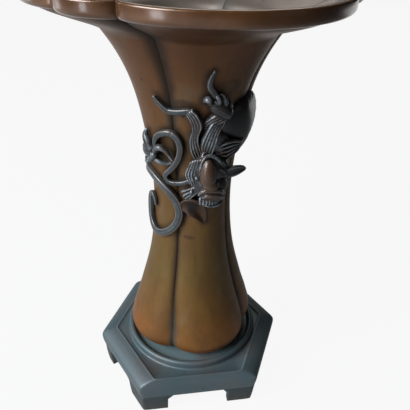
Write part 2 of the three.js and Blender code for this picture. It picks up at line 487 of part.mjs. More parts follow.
// Each casting is one or more limbs: [steps, sides, route].
const castings = {
  dragon_head: [
    [10, 12, [[8, 172, 3, 7, 5], [7, 167, 4.4, 11, 7.6], [7, 159, 5, 13.2, 9], [8.5, 151, 5, 12.2, 8.5],
      [9, 144, 6, 9.6, 7], [10, 139, 6, 7.6, 5], [10, 136.5, 6, 5.6, 3]]],
    [6, 8, [[-1, 149, 3, 4, 4], [-9, 144, 1.6, 5, 3.4], [-16, 139, 1.2, 5.5, 2.8], [-22, 135, 1, 3, 2]]],
  ],
  dragon_jaw: [
    [6, 8, [[9, 148, 1.5, 7, 3], [8, 140, 2, 7, 3.2], [7, 134, 2.4, 5.5, 3], [6, 131, 2.4, 3.5, 2]]],
  ],
  dragon_ear_right: [
    [8, 8, [[21, 154.5, 6.5, 4.2, 2.2], [27, 156.5, 9.6, 4.6, 2.4], [33, 157.6, 12, 3.9, 2.2],
      [38.5, 157.8, 13.2, 2.4, 1.7], [43, 156.7, 13.6, 0.7, 0.7]]],
  ],
  dragon_ear_left: [
    [10, 8, [[-27, 127.6, 1.2, 0.8, 1], [-20, 128.3, 2.2, 3.8, 2.2], [-11, 128.6, 3, 6.6, 2.8],
      [-2, 126.4, 3, 6.6, 2.8], [5, 121.5, 2.4, 4, 2.2], [10, 115.5, 1.4, 0.7, 0.9]]],
  ],
  dragon_mane_left: [
    [12, 6, [[-7.5, 199, 2.4, 1.8, 2.1], [-4.2, 194.5, 3, 2, 2.4], [-2.2, 188.5, 3.2, 2, 2.4],
      [-4.6, 182.5, 3.2, 2, 2.4], [-2.6, 176, 3.6, 1.9, 2.4], [1, 169.5, 4.2, 1.5, 1.8]]],
    [12, 6, [[-9.8, 197.8, 2, 1.4, 1.9], [-6.6, 192.8, 2.6, 1.6, 2.2], [-5.6, 186.5, 2.7, 1.6, 2.2],
      [-7.2, 180.2, 2.8, 1.6, 2.2], [-5, 173.8, 3.3, 1.6, 2.2], [-1.8, 167.5, 3.9, 1.2, 1.6]]],
    [12, 6, [[-12, 196.5, 1.6, 1.5, 1.9], [-9, 191, 2.2, 1.8, 2.4], [-9, 184.5, 2.2, 1.9, 2.4],
      [-9.8, 178, 2.4, 1.9, 2.4], [-7.5, 171.5, 3, 1.8, 2.4], [-4.5, 165.5, 3.6, 1.5, 1.8]]],
  ],
  dragon_mane_right: [
    [10, 6, [[10.5, 192, 4, 1.7, 1.8], [6, 188.5, 4.6, 2, 2.4], [3.2, 183, 4.8, 2.1, 2.6],
      [0.6, 177, 5, 2, 2.4], [2, 170.5, 5.2, 1.6, 1.8]]],
    [10, 6, [[12.5, 191.5, 5.1, 1.9, 1.9], [8.5, 187, 5.7, 2.2, 2.5], [6.6, 181, 5.9, 2.3, 2.7],
      [4.8, 175.2, 5.9, 2.2, 2.5], [5.8, 170, 5.6, 1.8, 1.9]]],
    [10, 6, [[14.5, 191, 6.2, 1.6, 1.8], [11, 185.5, 6.8, 2, 2.4], [10, 179, 7, 2.1, 2.6],
      [9, 173.5, 6.8, 2, 2.4], [9.5, 169.5, 6, 1.6, 1.8]]],
  ],
  dragon_forepaw: [
    [7, 8, [[23, 195, 5.6, 4.6, 4], [17, 198.5, 4.6, 4.6, 4.2], [10, 202, 3.2, 4.4, 3.6],
      [4.5, 204, 2, 2.4, 2.4]]],
    [5, 6, [[17, 198.5, 4.6, 2, 2.4], [20.5, 200.6, 4.8, 2.2, 2.6], [21, 203.6, 3.4, 1.6, 1.8],
      [18.6, 206, 1.8, 0.6, 0.9]]],
    [5, 6, [[13.5, 200.6, 4, 2, 2.4], [16.6, 203.4, 4.4, 2.1, 2.5], [15.8, 206.6, 3, 1.5, 1.7],
      [13.4, 208.6, 1.4, 0.6, 0.8]]],
    [5, 6, [[9.5, 202, 3.4, 2, 2.4], [11.5, 205.2, 4, 2, 2.4], [10, 208, 2.6, 1.4, 1.6],
      [7.4, 209, 1.2, 0.6, 0.8]]],
    [5, 6, [[6, 203, 2.8, 2, 2.4], [3.6, 206.2, 3.4, 2, 2.4], [1.6, 205.2, 2.2, 1.4, 1.6],
      [1.6, 202.2, 1, 0.6, 0.8]]],
    [6, 6, [[21.4, 198.8, 4.9, 2.2, 2.3], [15.2, 196.6, 4.7, 2.5, 2.7], [8.6, 193.9, 3.9, 2.5, 2.5],
      [2, 189, 2.6, 1.6, 1.4]]],
    [6, 6, [[22.2, 196, 5.7, 2.2, 2.3], [15.8, 194, 5.2, 2.5, 2.7], [8.9, 191, 4.4, 2.4, 2.5],
      [2.7, 186.4, 3.2, 1.6, 1.4]]],
  ],
  dragon_flame: [
    [8, 6, [[6.2, 223.6, 1, 0.6, 0.8], [4, 218.8, 1.4, 1.2, 1.4], [4.2, 214, 1.6, 1.6, 1.7],
      [8, 209.4, 1.8, 1.7, 1.7]]],
  ],
  dragon_body: [
    [30, 10, [[19, 183, 0.5, 9, 4.5], [25, 184, 0.5, 17, 6.4], [33, 184, 0.2, 21, 7.2],
      [46, 182.5, 0, 19.5, 7.2], [66, 181, -0.2, 16.8, 6.6], [86, 178, -0.2, 14.6, 6.3],
      [108, 173, 0, 12.6, 6.3], [135, 167, 0.2, 10.5, 6.4], [165, 162, 0.4, 9, 6.2],
      [195, 161, 0.4, 8, 6], [222, 160, 0.4, 6.5, 5.2], [246, 153, 0.6, 4.4, 3.8],
      [268, 146, 1, 2.8, 2.8]]],
    [5, 10, [[7, 167, 1, 8, 6], [13, 171, 1, 9, 6.4], [21, 176, 1, 11, 6.4], [30, 181, 0.5, 12, 6]]],
  ],
  dragon_hind_claw: [
    [12, 8, [[-128, 160, 0.8, 6, 4], [-110, 160, 0.6, 5.6, 3.4], [-93, 158.5, 0.4, 5.4, 2.7],
      [-79, 161, 0.8, 5, 3.4], [-66, 164, 1.6, 4.6, 4], [-55, 165, 2.2, 3.6, 3.8]]],
    [4, 8, [[-55, 165.5, 3.4, 3.2, 3.2], [-52, 164.2, 4, 3.6, 3.4], [-49, 163, 3.4, 3, 3]]],
    [5, 6, [[-56, 166, 2.8, 2.6, 2.8], [-62, 170.6, 3.2, 2.9, 2.6], [-66, 174.8, 2.6, 2.3, 2],
      [-64.6, 179.4, 1.2, 0.6, 0.8]]],
    [5, 6, [[-60, 165, 2.8, 2.4, 2.8], [-67, 167, 3, 2.5, 2.6], [-73, 164, 2.2, 1.9, 2],
      [-76, 158.6, 1, 0.6, 0.8]]],
    [5, 6, [[-55, 163, 2.8, 2.2, 2.6], [-61, 159, 3, 2.2, 2.4], [-68, 157, 2.2, 1.6, 1.8],
      [-72, 154, 1, 0.6, 0.8]]],
    [5, 6, [[-52, 166, 3, 2.2, 2.6], [-45, 170.4, 3.4, 2.2, 2.4], [-37.5, 168.6, 2.6, 1.6, 1.8],
      [-31.5, 161, 1.1, 0.6, 0.8]]],
    [5, 6, [[-53, 162, 3, 2, 2.6], [-46, 160, 3.2, 1.9, 2.3], [-39, 159.4, 2.2, 1.4, 1.7],
      [-33, 160, 1, 0.6, 0.8]]],
  ],
  dragon_tail: [
    [38, 8, [[-96, 146, 1, 2.5, 2.3], [-84, 146, 1.4, 2.7, 2.5], [-71, 146.4, 1.5, 2.8, 2.5],
      [-58, 144, 1.5, 2.8, 2.5], [-44, 139.6, 1.5, 2.8, 2.5], [-33, 134, 1.5, 2.8, 2.5],
      [-26, 127, 1.5, 2.7, 2.4], [-25.5, 119.5, 1.5, 2.6, 2.4], [-32, 111.5, 1.5, 2.6, 2.4],
      [-45, 105, 1.5, 2.6, 2.4], [-61, 102, 1.5, 2.6, 2.4], [-74, 104.5, 1.5, 2.6, 2.4],
      [-82, 111, 1.9, 2.6, 2.4], [-84, 119, 2, 2.5, 2.4], [-83, 125, 1.9, 2.2, 2.2],
      [-76, 128.4, 1.7, 1.8, 1.9], [-70, 126, 1.4, 1.5, 1.6], [-68, 120.5, 1.2, 1, 1.1]]],
  ],
  dragon_whisker: [
    [42, 6, [[-4, 149.6, 2.6, 1.5, 1.6], [-10.6, 149, 1.6, 1.6, 1.7], [-18, 147, 1.3, 1.6, 1.7],
      [-26, 145.6, 1.2, 1.6, 1.7], [-34, 145, 1.2, 1.6, 1.7], [-40, 145.8, 1.2, 1.6, 1.7],
      [-43.2, 148.4, 1.2, 1.6, 1.7], [-41, 151.4, 1.2, 1.7, 1.8], [-34, 155.6, 1.2, 1.8, 1.9],
      [-27, 161, 1.2, 1.9, 2], [-22.4, 167, 1.2, 2, 2.1], [-21, 173.4, 1.2, 2, 2.1],
      [-24.5, 179, 1.2, 2, 2.1], [-31, 181.6, 1.2, 2, 2.1], [-39.8, 180.6, 1.3, 2, 2.1],
      [-47.5, 177.4, 1.5, 1.9, 2], [-51.5, 172.5, 2, 1.6, 1.8], [-51, 168, 2.6, 1.3, 1.5]]],
  ],
  dragon_top_tendril: [
    [14, 6, [[-43, 205, 0.9, 0.9, 1], [-38, 201, 1.2, 1.4, 1.5], [-31, 197, 1.2, 1.7, 1.8],
      [-22, 197, 1.2, 1.8, 1.9], [-13, 198, 1.3, 1.9, 2], [-8, 198, 1.6, 1.9, 2]]],
  ],
};

function casting(name, growth) {
  return joined(castings[name].map(([steps, sides, route]) => limb(route, steps, sides, growth)));
}

// The castings in the order in which each is fitted round those before it.
const dragon = new Map();
const names = Object.keys(castings);
names.forEach((name, index) => {
  const others = names.slice(0, index).map((other) => casting(other, CLEARANCE));
  const trims = [wallTrim, pinHoles, ...others];
  dragon.set(name, trims.reduce((solid, trim) => solid.subtract(trim), casting(name, 0)));
});

// Scene

const vase = new THREE.Group();

function node(name, solid, material) {
  const { vertProperties, triVerts } = solid.getMesh();
  const geometry = new THREE.BufferGeometry();
  geometry.setAttribute('position', new THREE.BufferAttribute(vertProperties, 3));
  geometry.setIndex(new THREE.BufferAttribute(triVerts, 1));
  geometry.computeVertexNormals();
  const mesh = new THREE.Mesh(geometry, material);
  mesh.name = name;
  vase.add(mesh);
}

node('vase_body', vaseBody, bronze);
node('lip_band', lipBand, darkBronze);
node('bottom_plate', bottomPlate, bronze);
node('stand_slab', standSlab, greyBronze);
feet.forEach((foot, index) => node(`stand_foot_${cornerNames[index]}`, foot, footBronze));
node('tie_stud', tieStud, brass);
node('tie_washer', tieWasher, brass);
node('tie_nut', tieNut, brass);
pins.forEach((solid, index) => node(`relief_pin_${index + 1}`, solid, darkBronze));
dragon.forEach((solid, name) => node(name, solid, dragonBronze));

export default vase;
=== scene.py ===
import bpy
import numpy as np
from mathutils import Matrix


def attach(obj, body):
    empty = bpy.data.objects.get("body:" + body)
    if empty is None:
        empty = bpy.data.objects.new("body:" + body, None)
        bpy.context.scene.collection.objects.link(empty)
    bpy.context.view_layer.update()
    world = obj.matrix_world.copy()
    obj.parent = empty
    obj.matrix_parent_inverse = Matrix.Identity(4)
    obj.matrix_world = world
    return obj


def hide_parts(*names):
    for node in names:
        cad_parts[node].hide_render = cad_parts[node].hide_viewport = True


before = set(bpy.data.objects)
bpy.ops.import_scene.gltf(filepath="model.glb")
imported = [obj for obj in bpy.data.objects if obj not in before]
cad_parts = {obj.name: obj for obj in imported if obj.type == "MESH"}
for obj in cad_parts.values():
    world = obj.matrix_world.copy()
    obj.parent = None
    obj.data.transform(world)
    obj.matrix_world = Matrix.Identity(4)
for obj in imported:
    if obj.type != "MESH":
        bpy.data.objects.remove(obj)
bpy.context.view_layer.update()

# Studio
# A pale floor that runs out to a white surround, a broad soft window on the left with weaker lamps round
# it, and the camera where the photograph was taken from, looking down over the mouth of the vase.
MM = 0.001
CAMERA_PLACE = np.array([-37.6, -291.9, 334.3])
CAMERA_HEADING = np.radians(9.10)  # from +Y towards +X
CAMERA_PITCH = np.radians(32.01)  # below the horizon
CAMERA_ROLL = np.radians(-1.57)
CAMERA_LENS = 42.08  # mm, for a sensor 36 mm wide
LAMPS = [  # name, place, width, height, power in watts, colour
    ("window", (-1040, -510, 900), 800, 800, 30, (0.86, 0.94, 1.0)),
    ("fill", (900, -900, 500), 700, 700, 0.2, (1.0, 0.95, 0.88)),
    ("back", (200, 1100, 900), 800, 500, 2.2, (1.0, 0.97, 0.92)),
    ("left_edge", (-1000, 450, 300), 300, 900, 1.4, (0.9, 0.95, 1.0)),
    ("low_window", (-790, -610, 150), 200, 220, 1.1, (0.8, 0.9, 1.0)),
]
LAMP_TARGET = (0, 0, 170)
ROOM_COLOUR = (0.80, 0.86, 0.92, 1)
ROOM_LIGHT = 0.028
WHITE = (1, 1, 1, 1)
FLOOR_SIZE = 4000
FLOOR_SHADE = 0.3
FLOOR_WHITENESS = 0.92  # share of the floor that the camera sees as plain white
FLOOR_MIRRORED = 0.36  # the same share as the bronze mirrors it, on the window's side
FLOOR_FAR_MIRRORED = 0.9  # and far behind the vase
WINDOW_SIDE_FADE = (-0.1, 0.35)  # m to the right of the axis, between which the first share fades out
FAR_SIDE_FADE = (0.2, 0.6)  # m behind the axis, between which the second fades in


def link_object(name, data):
    """Puts an object of that name into the scene, unturned, unscaled and at the origin."""
    made = bpy.data.objects.new(name, data)
    bpy.context.scene.collection.objects.link(made)
    return made


def aim(place, target):
    """The matrix of a lamp at one point, in millimetres, that shines towards another."""
    back = np.subtract(place, target) / np.linalg.norm(np.subtract(place, target))
    right = np.cross([0, 0, 1], back)
    right /= np.linalg.norm(right)
    up = np.cross(back, right)
    columns = np.column_stack([right, up, back, np.multiply(place, MM)])
    return Matrix([*columns.tolist(), [0, 0, 0, 1]])


ahead = np.array([
    np.sin(CAMERA_HEADING) * np.cos(CAMERA_PITCH),
    np.cos(CAMERA_HEADING) * np.cos(CAMERA_PITCH),
    -np.sin(CAMERA_PITCH),
])
level_right = np.array([np.cos(CAMERA_HEADING), -np.sin(CAMERA_HEADING), 0])
level_down = np.cross(ahead, level_right)
camera_right = np.cos(CAMERA_ROLL) * level_right + np.sin(CAMERA_ROLL) * level_down
camera_down = -np.sin(CAMERA_ROLL) * level_right + np.cos(CAMERA_ROLL) * level_down
lens = bpy.data.cameras.new("photograph")
lens.sensor_width = 36
lens.lens = CAMERA_LENS
lens.clip_start = 10 * MM
camera = link_object("photograph", lens)
camera_axes = np.column_stack([camera_right, -camera_down, -ahead, CAMERA_PLACE * MM])
camera.matrix_world = Matrix([*camera_axes.tolist(), [0, 0, 0, 1]])
bpy.context.scene.camera = camera
bpy.context.scene.view_settings.view_transform = "Standard"

for name, place, width, height, power, colour in LAMPS:
    lamp = bpy.data.lights.new(name, "AREA")
    lamp.shape = "RECTANGLE"
    lamp.size = width * MM
    lamp.size_y = height * MM
    lamp.energy = power
    lamp.color = colour
    link_object(name, lamp).matrix_world = aim(place, LAMP_TARGET)

surround = bpy.data.worlds.new("surround")
surround.use_nodes = True
bpy.context.scene.world = surround
air = surround.node_tree
seen = air.nodes.new("ShaderNodeLightPath")
room_light = air.nodes["Background"]
room_light.inputs["Color"].default_value = ROOM_COLOUR
room_light.inputs["Strength"].default_value = ROOM_LIGHT
white_light = air.nodes.new("ShaderNodeBackground")
white_light.inputs["Color"].default_value = WHITE
white_light.inputs["Strength"].default_value = 1
choice = air.nodes.new("ShaderNodeMixShader")
air.links.new(seen.outputs["Is Camera Ray"], choice.inputs[0])
air.links.new(room_light.outputs[0], choice.inputs[1])
air.links.new(white_light.outputs[0], choice.inputs[2])
air.links.new(choice.outputs[0], air.nodes["World Output"].inputs["Surface"])

floor_mesh = bpy.data.meshes.new("floor")
floor_edge = FLOOR_SIZE / 2 * MM
floor_mesh.from_pydata(
    [(-floor_edge, -floor_edge, 0), (floor_edge, -floor_edge, 0), (floor_edge, floor_edge, 0),
     (-floor_edge, floor_edge, 0)],
    [],
    [(0, 1, 2, 3)],
)
studio_floor = link_object("floor", floor_mesh)
floor_paint = bpy.data.materials.new("floor")
floor_paint.use_nodes = True
floor_tree = floor_paint.node_tree
matt = floor_tree.nodes["Principled BSDF"]
matt.inputs["Base Color"].default_value = (FLOOR_SHADE, FLOOR_SHADE, FLOOR_SHADE, 1)
matt.inputs["Roughness"].default_value = 0.9
glow = floor_tree.nodes.new("ShaderNodeEmission")
glow.inputs["Color"].default_value = WHITE
path = floor_tree.nodes.new("ShaderNodeLightPath")
ground = floor_tree.nodes.new("ShaderNodeTexCoord")
ground_parts = floor_tree.nodes.new("ShaderNodeSeparateXYZ")
floor_tree.links.new(ground.outputs["Object"], ground_parts.inputs[0])


def floor_fade(axis, ends, first, last):
    """A value that eases along an axis of the floor, from the first at one end to the last at the other."""
    fade = floor_tree.nodes.new("ShaderNodeMapRange")
    fade.interpolation_type = "SMOOTHSTEP"
    for socket, value in zip(("From Min", "From Max", "To Min", "To Max"), (*ends, first, last)):
        fade.inputs[socket].default_value = value
    floor_tree.links.new(ground_parts.outputs[axis], fade.inputs["Value"])
    return fade.outputs[0]


def floor_math(operation, *terms):
    """A Math node of that operation on terms, each a number or an output."""
    made = floor_tree.nodes.new("ShaderNodeMath")
    made.operation = operation
    for socket, term in zip(made.inputs, terms):
        if isinstance(term, float):
            socket.default_value = term
        else:
            floor_tree.links.new(term, socket)
    return made.outputs[0]


window_side = floor_fade("X", WINDOW_SIDE_FADE, FLOOR_MIRRORED, 0)
far_side = floor_fade("Y", FAR_SIDE_FADE, 0, FLOOR_FAR_MIRRORED)
brighter_side = floor_math("MAXIMUM", window_side, far_side)
mirrored = floor_math("MULTIPLY", path.outputs["Is Glossy Ray"], brighter_side)
share = floor_math("MULTIPLY_ADD", path.outputs["Is Camera Ray"], FLOOR_WHITENESS, mirrored)
blend = floor_tree.nodes.new("ShaderNodeMixShader")
floor_tree.links.new(share, blend.inputs[0])
floor_tree.links.new(matt.outputs[0], blend.inputs[1])
floor_tree.links.new(glow.outputs[0], blend.inputs[2])
floor_tree.links.new(blend.outputs[0], floor_tree.nodes["Material Output"].inputs["Surface"])
floor_mesh.materials.append(floor_paint)

# Vase body
# One bronze casting, a tall waisted wall of four full lobes that flares into a scalloped mouth. The
# grooves between the lobes are chased sharp, and the brown patina is warmest near the foot.
FOOT_HEIGHT = 38.0  # the foot's edge above the ground
PROFILE = [  # height above the foot, radius of a lobe's crest, depth of the grooves
    (0, 36.2, 7.0), (5, 44.6, 7.6), (13, 49.2, 7.8), (27, 46.2, 6.8), (48, 39.4, 5.0), (84, 30.6, 3.8),
    (126, 27.4, 3.4), (170, 31.4, 3.6), (208, 39.9, 3.6), (232, 51.6, 4.4), (248, 65.4, 7.0),
    (258, 95.0, 14.6),
]
PROFILE_STEPS = 441
BODY_HEIGHT = PROFILE[-1][0]
VASE_TURN = 15  # azimuth of the front lobe's centre, degrees from -Y towards +X
LOBE_POWER = 0.6
FOOT_TWIST = 3.8  # degrees that the grooves are drawn round to the right, just above the foot
TWIST_LEVELS = (6, 20, 60)  # heights above the foot where the twist is full, still full and gone
WALL = 2.6
FOOT_LAND = 3.0
FOOT_LAND_HEIGHT = 3.2
FLARE_START = 238
LIP_HEIGHT = 8.0
LIP_THICKNESS = 4.0
LIP_INSET = 4.3  # the body's edge lies this far inside the lip's outer face
LIP_TOP = FOOT_HEIGHT + BODY_HEIGHT + 4.0
DEEP_HALF = 45  # degrees, half a deep scallop
OPPOSITE_START = 180 - DEEP_HALF  # where the deep scallop opposite starts
SMALL_SPAN = 24
SCALLOPS = [  # start, end, radius at each cusp, bulge between them
    (-DEEP_HALF, DEEP_HALF, 85.5, 85.5, 14.8),
    (DEEP_HALF, DEEP_HALF + SMALL_SPAN, 85.5, 88.0, 6.8),
    (DEEP_HALF + SMALL_SPAN, OPPOSITE_START - SMALL_SPAN, 88.0, 88.0, 8.0),
    (OPPOSITE_START - SMALL_SPAN, OPPOSITE_START, 88.0, 85.5, 6.8),
]
SCALLOP_STEPS = (56, 16, 28, 16)  # columns over each


class Tone:
    """A value that varies over a surface, held as a socket. Sums and products add Math nodes."""

    def __init__(self, finish, socket):
        self.finish = finish
        self.socket = socket

    def math(self, operation, first, second, clamp=False):
        """A Math node of that operation on two values."""
        settings = {"operation": operation, "use_clamp": clamp}
        return self.finish.node("ShaderNodeMath", settings, {0: first, 1: second})

    def __add__(self, other):
        return self.math("ADD", self, other)

    __radd__ = __add__

    def __sub__(self, other):
        return self.math("SUBTRACT", self, other)

    def __rsub__(self, other):
        return self.math("SUBTRACT", other, self)

    def __mul__(self, other):
        return self.math("MULTIPLY", self, other)

    __rmul__ = __mul__

    def held(self):
        """The value kept between 0 and 1."""
        return self.math("ADD", self, 0.0, clamp=True)

    def step(self, low, high):
        """0 below low and 1 above high, with an eased slope between; low may be above high."""
        settings = {"interpolation_type": "SMOOTHSTEP"}
        if low < high:
            inputs = {"Value": self, "From Min": low, "From Max": high}
            return self.finish.node("ShaderNodeMapRange", settings, inputs)
        return 1 - self.step(high, low)


class Finish:
    """A material with one Principled shader, and the nodes that feed it."""

    def __init__(self, name, constants):
        self.material = bpy.data.materials.new(name)
        self.material.use_nodes = True
        self.tree = self.material.node_tree
        self.shader = self.tree.nodes["Principled BSDF"]
        for socket, value in constants.items():
            self.shader.inputs[socket].default_value = value

    def node(self, kind, settings, inputs, output=0):
        """Adds a node: its settings first, then a value or a link for each socket named or numbered."""
        made = self.tree.nodes.new(kind)
        for name, value in settings.items():
            if name == "stops":
                while len(made.color_ramp.elements) < len(value):
                    made.color_ramp.elements.new(0.5)
                for element, (position, colour) in zip(made.color_ramp.elements, value):
                    element.position = position
                    element.color = colour
            else:
                setattr(made, name, value)
        for name, value in inputs.items():
            if isinstance(value, Tone):
                self.tree.links.new(value.socket, made.inputs[name])
            else:
                made.inputs[name].default_value = value
        return Tone(self, made.outputs[output])

    def feed(self, socket, tone):
        """Links a tone to one of the shader's sockets."""
        self.tree.links.new(tone.socket, self.shader.inputs[socket])

    def place(self, stretch=(1, 1, 1)):
        """Object coordinates in metres, stretched along each axis."""
        coordinates = self.node("ShaderNodeTexCoord", {}, {}, "Object")
        return self.node("ShaderNodeMapping", {}, {"Vector": coordinates, "Scale": stretch})

    def height(self):
        """Height above the ground in millimetres."""
        coordinates = self.node("ShaderNodeTexCoord", {}, {}, "Object")
        return self.node("ShaderNodeSeparateXYZ", {}, {0: coordinates}, "Z") * (1 / MM)

    def noise(self, size, detail=4.0, stretch=(1, 1, 1), roughness=0.55):
        """Cloudy noise from 0 to 1, whose patches are about size millimetres across."""
        inputs = {"Vector": self.place(stretch), "Scale": 1 / (size * MM)}
        inputs.update({"Detail": detail, "Roughness": roughness})
        return self.node("ShaderNodeTexNoise", {"noise_dimensions": "3D"}, inputs, "Fac")

    def pits(self, size):
        """Distance to the nearest of scattered points, in units of their spacing of about size mm."""
        inputs = {"Vector": self.place(), "Scale": 1 / (size * MM)}
        return self.node("ShaderNodeTexVoronoi", {"feature": "F1"}, inputs, "Distance")

    def attribute(self, name):
        """A number kept on the mesh's points."""
        return self.node("ShaderNodeAttribute", {"attribute_name": name}, {}, "Fac")

    def mix(self, factor, first, second):
        """A colour between two colours."""
        return self.node("ShaderNodeMix", {"data_type": "RGBA"}, {0: factor, 6: first, 7: second}, 2)

    def ramp(self, tone, stops):
        """A colour read from stops by a value from 0 to 1."""
        return self.node("ShaderNodeValToRGB", {"stops": stops}, {0: tone}, "Color")

    def bump(self, layers):
        """Feeds Normal with layers of relief, each a height tone and its depth in millimetres."""
        normal = None
        for tone, depth in layers:
            inputs = {"Height": tone, "Distance": depth * MM, "Strength": 1.0}
            if normal is not None:
                inputs["Normal"] = normal
            normal = self.node("ShaderNodeBump", {}, inputs)
        self.feed("Normal", normal)


def paint(red, green, blue):
    """A colour given on the 0 to 255 scale of a screen, as the linear light that a shader takes."""
    screen = np.array([red, green, blue]) / 255
    light = np.where(screen <= 0.04045, screen / 12.92, ((screen + 0.055) / 1.055) ** 2.4)
    return (*light.tolist(), 1)


def curve_through(rows, count, power=0.0):
    """A Catmull-Rom curve through rows of numbers, read at count even steps of its parameter.
    Between two rows it is the cubic whose end slopes come from the rows beside them, weighted by
    the distances between the rows to that power (0.5 makes it centripetal)."""
    rows = np.asarray(rows, float)
    rows = np.vstack([2 * rows[0] - rows[1], rows, 2 * rows[-1] - rows[-2]])
    gaps = np.linalg.norm(np.diff(rows, axis=0), axis=1) ** power
    part = np.linspace(0, len(rows) - 3, count)
    piece = np.minimum(part.astype(int), len(rows) - 4)
    before, start, end, after = (rows[piece + step] for step in range(4))
    gap0, gap1, gap2 = (gaps[piece + step][:, None] for step in range(3))
    slope0 = ((start - before) / gap0 - (end - before) / (gap0 + gap1) + (end - start) / gap1) * gap1
    slope1 = ((end - start) / gap1 - (after - start) / (gap1 + gap2) + (after - end) / gap2) * gap1
    t = (part - piece)[:, None]
    return (
        (2 * t**3 - 3 * t**2 + 1) * start + (t**3 - 2 * t**2 + t) * slope0
        + (3 * t**2 - 2 * t**3) * end + (t**3 - t**2) * slope1
    )


def ease(value, low, high):
    """0 below low and 1 above high, with the cubic 3t^2 - 2t^3 between them."""
    t = np.clip((value - low) / (high - low), 0, 1)
    return t * t * (3 - 2 * t)


def lobe(azimuth, level):
    """0 in a groove and 1 on a lobe's crest: half a sine over each quarter turn, to the power LOBE_POWER.
    The grooves are drawn round by FOOT_TWIST, which eases in from the foot's edge and out further up."""
    full, still_full, gone = TWIST_LEVELS
    twist = FOOT_TWIST * ease(level, gone, still_full) * ease(level, 0, full)
    return np.sin(np.pi * ((azimuth - VASE_TURN - twist + 45) % 90) / 90) ** LOBE_POWER


profile_points = [(crest, height, groove) for height, crest, groove in PROFILE]
profile_rows = curve_through(profile_points, PROFILE_STEPS, 0.5)


def crest_and_groove(level):
    """Radius of the lobes' crests and depth of the grooves, at a height above the foot."""
    level = np.clip(level, 0, BODY_HEIGHT)
    crests, heights, grooves = profile_rows.T
    return np.interp(level, heights, crests), np.interp(level, heights, grooves)


def lip_radius(azimuth):
    """Outer radius of the scalloped lip: within a scallop, the line from cusp to cusp and its bulge
    times half a sine to the power LOBE_POWER. The scallops come round twice."""
    turn = (azimuth - VASE_TURN + DEEP_HALF) % 180 - DEEP_HALF
    radius = np.zeros_like(turn)
    for start, end, first, last, bulge in SCALLOPS:
        across = np.clip((turn - start) / (end - start), 0, 1)
        here = (turn >= start) & (turn < end)
        bowed = first + (last - first) * across + bulge * np.sin(np.pi * across) ** LOBE_POWER
        radius = np.where(here, bowed, radius)
    return radius


def wall_radius(azimuth, level):
    """Outer radius of the wall: crest - groove (1 - lobe), eased into the scallops above FLARE_START."""
    crest, groove = crest_and_groove(level)
    lobed = crest - groove * (1 - lobe(azimuth, level))
    share = ease(level, FLARE_START, BODY_HEIGHT)
    return lobed + (lip_radius(azimuth) - LIP_INSET - lobed) * share


def around(azimuth, radius, height):
    """Points at a radius and height round the axis; the arrays are stretched over each other."""
    azimuth, radius, height = np.broadcast_arrays(np.radians(azimuth), radius, height)
    return np.stack([radius * np.sin(azimuth), -radius * np.cos(azimuth), height], axis=-1)


def shell_arrays(grid, ends):
    """Points and faces of a closed skin through grid[row, column]. The columns run round it; its ends
    are 'capped' with a fan each, or 'joined' to each other. Rows advance so that faces point outwards."""
    rows, columns = grid.shape[:2]
    index = np.arange(rows * columns).reshape(rows, columns)
    if ends == "joined":
        index = np.vstack([index, index[:1]])
    here, beyond = index[:-1], index[1:]
    quads = np.stack([here, np.roll(here, -1, 1), np.roll(beyond, -1, 1), beyond], axis=-1).reshape(-1, 4)
    points = grid.reshape(-1, 3)
    faces = quads.tolist()
    if ends == "capped":
        points = np.vstack([points, grid[0].mean(0), grid[-1].mean(0)])
        first, last = index[0], index[-1]
        low, high = rows * columns, rows * columns + 1
        faces += np.stack([np.full(columns, low), np.roll(first, -1), first], axis=-1).tolist()
        faces += np.stack([np.full(columns, high), last, np.roll(last, -1)], axis=-1).tolist()
    return points, faces


def skin(name, shells):
    """A smooth mesh object in metres from closed shells in millimetres, each a grid and its ends."""
    points, faces = [], []
    for grid, ends in shells:
        shell_points, shell_faces = shell_arrays(grid, ends)
        offset = sum(len(part) for part in points)
        points.append(shell_points)
        faces += [[corner + offset for corner in face] for face in shell_faces]
    mesh = bpy.data.meshes.new(name)
    mesh.from_pydata((np.vstack(points) * MM).tolist(), [], faces)
    mesh.update()
    mesh.polygons.foreach_set("use_smooth", np.ones(len(faces), bool))
    return link_object(name, mesh)


def set_attribute(piece, name, values):
    """Keeps a number on each point of a piece's mesh."""
    layer = piece.data.attributes.new(name, "FLOAT", "POINT")
    layer.data.foreach_set("value", np.asarray(values, np.float32).ravel())


def points_of(mesh):
    """A mesh's points as an array of rows, in millimetres."""
    flat = np.empty(len(mesh.vertices) * 3)
    mesh.vertices.foreach_get("co", flat)
    return flat.reshape(-1, 3) / MM


def fit(piece, finish, slot, *nodes):
    """Gives a piece its finish, and puts it in the place of CAD nodes. The slot is not used."""
    piece.data.materials.append(finish.material)
    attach(piece, "root")
    if nodes:
        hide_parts(*nodes)


scallop_parts = [
    VASE_TURN + turn + start + (end - start) * (1 - np.cos(np.pi * np.arange(steps) / steps)) / 2
    for turn in (0, 180)
    for (start, end, *_), steps in zip(SCALLOPS, SCALLOP_STEPS)
]
AZIMUTHS = np.concatenate(scallop_parts)
outer_levels = np.concatenate(
    [np.linspace(0, 26, 30), np.linspace(27.5, 236, 130), np.linspace(237.5, BODY_HEIGHT, 40)])
inner_levels = np.concatenate([np.linspace(BODY_HEIGHT, 236, 30), np.linspace(233, 9, 60)])


def wall_rows(levels, depth):
    """Rows of the wall at heights above the foot, set inwards by a depth measured square to the wall."""
    level = levels[:, None]
    above = np.minimum(level + 0.5, BODY_HEIGHT)
    below = np.maximum(level - 0.5, 0)
    slope = (wall_radius(AZIMUTHS, above) - wall_radius(AZIMUTHS, below)) / (above - below)
    square = np.hypot(1, slope)
    radius = wall_radius(AZIMUTHS, level) - depth / square
    return around(AZIMUTHS, radius, FOOT_HEIGHT + level + depth * slope / square)


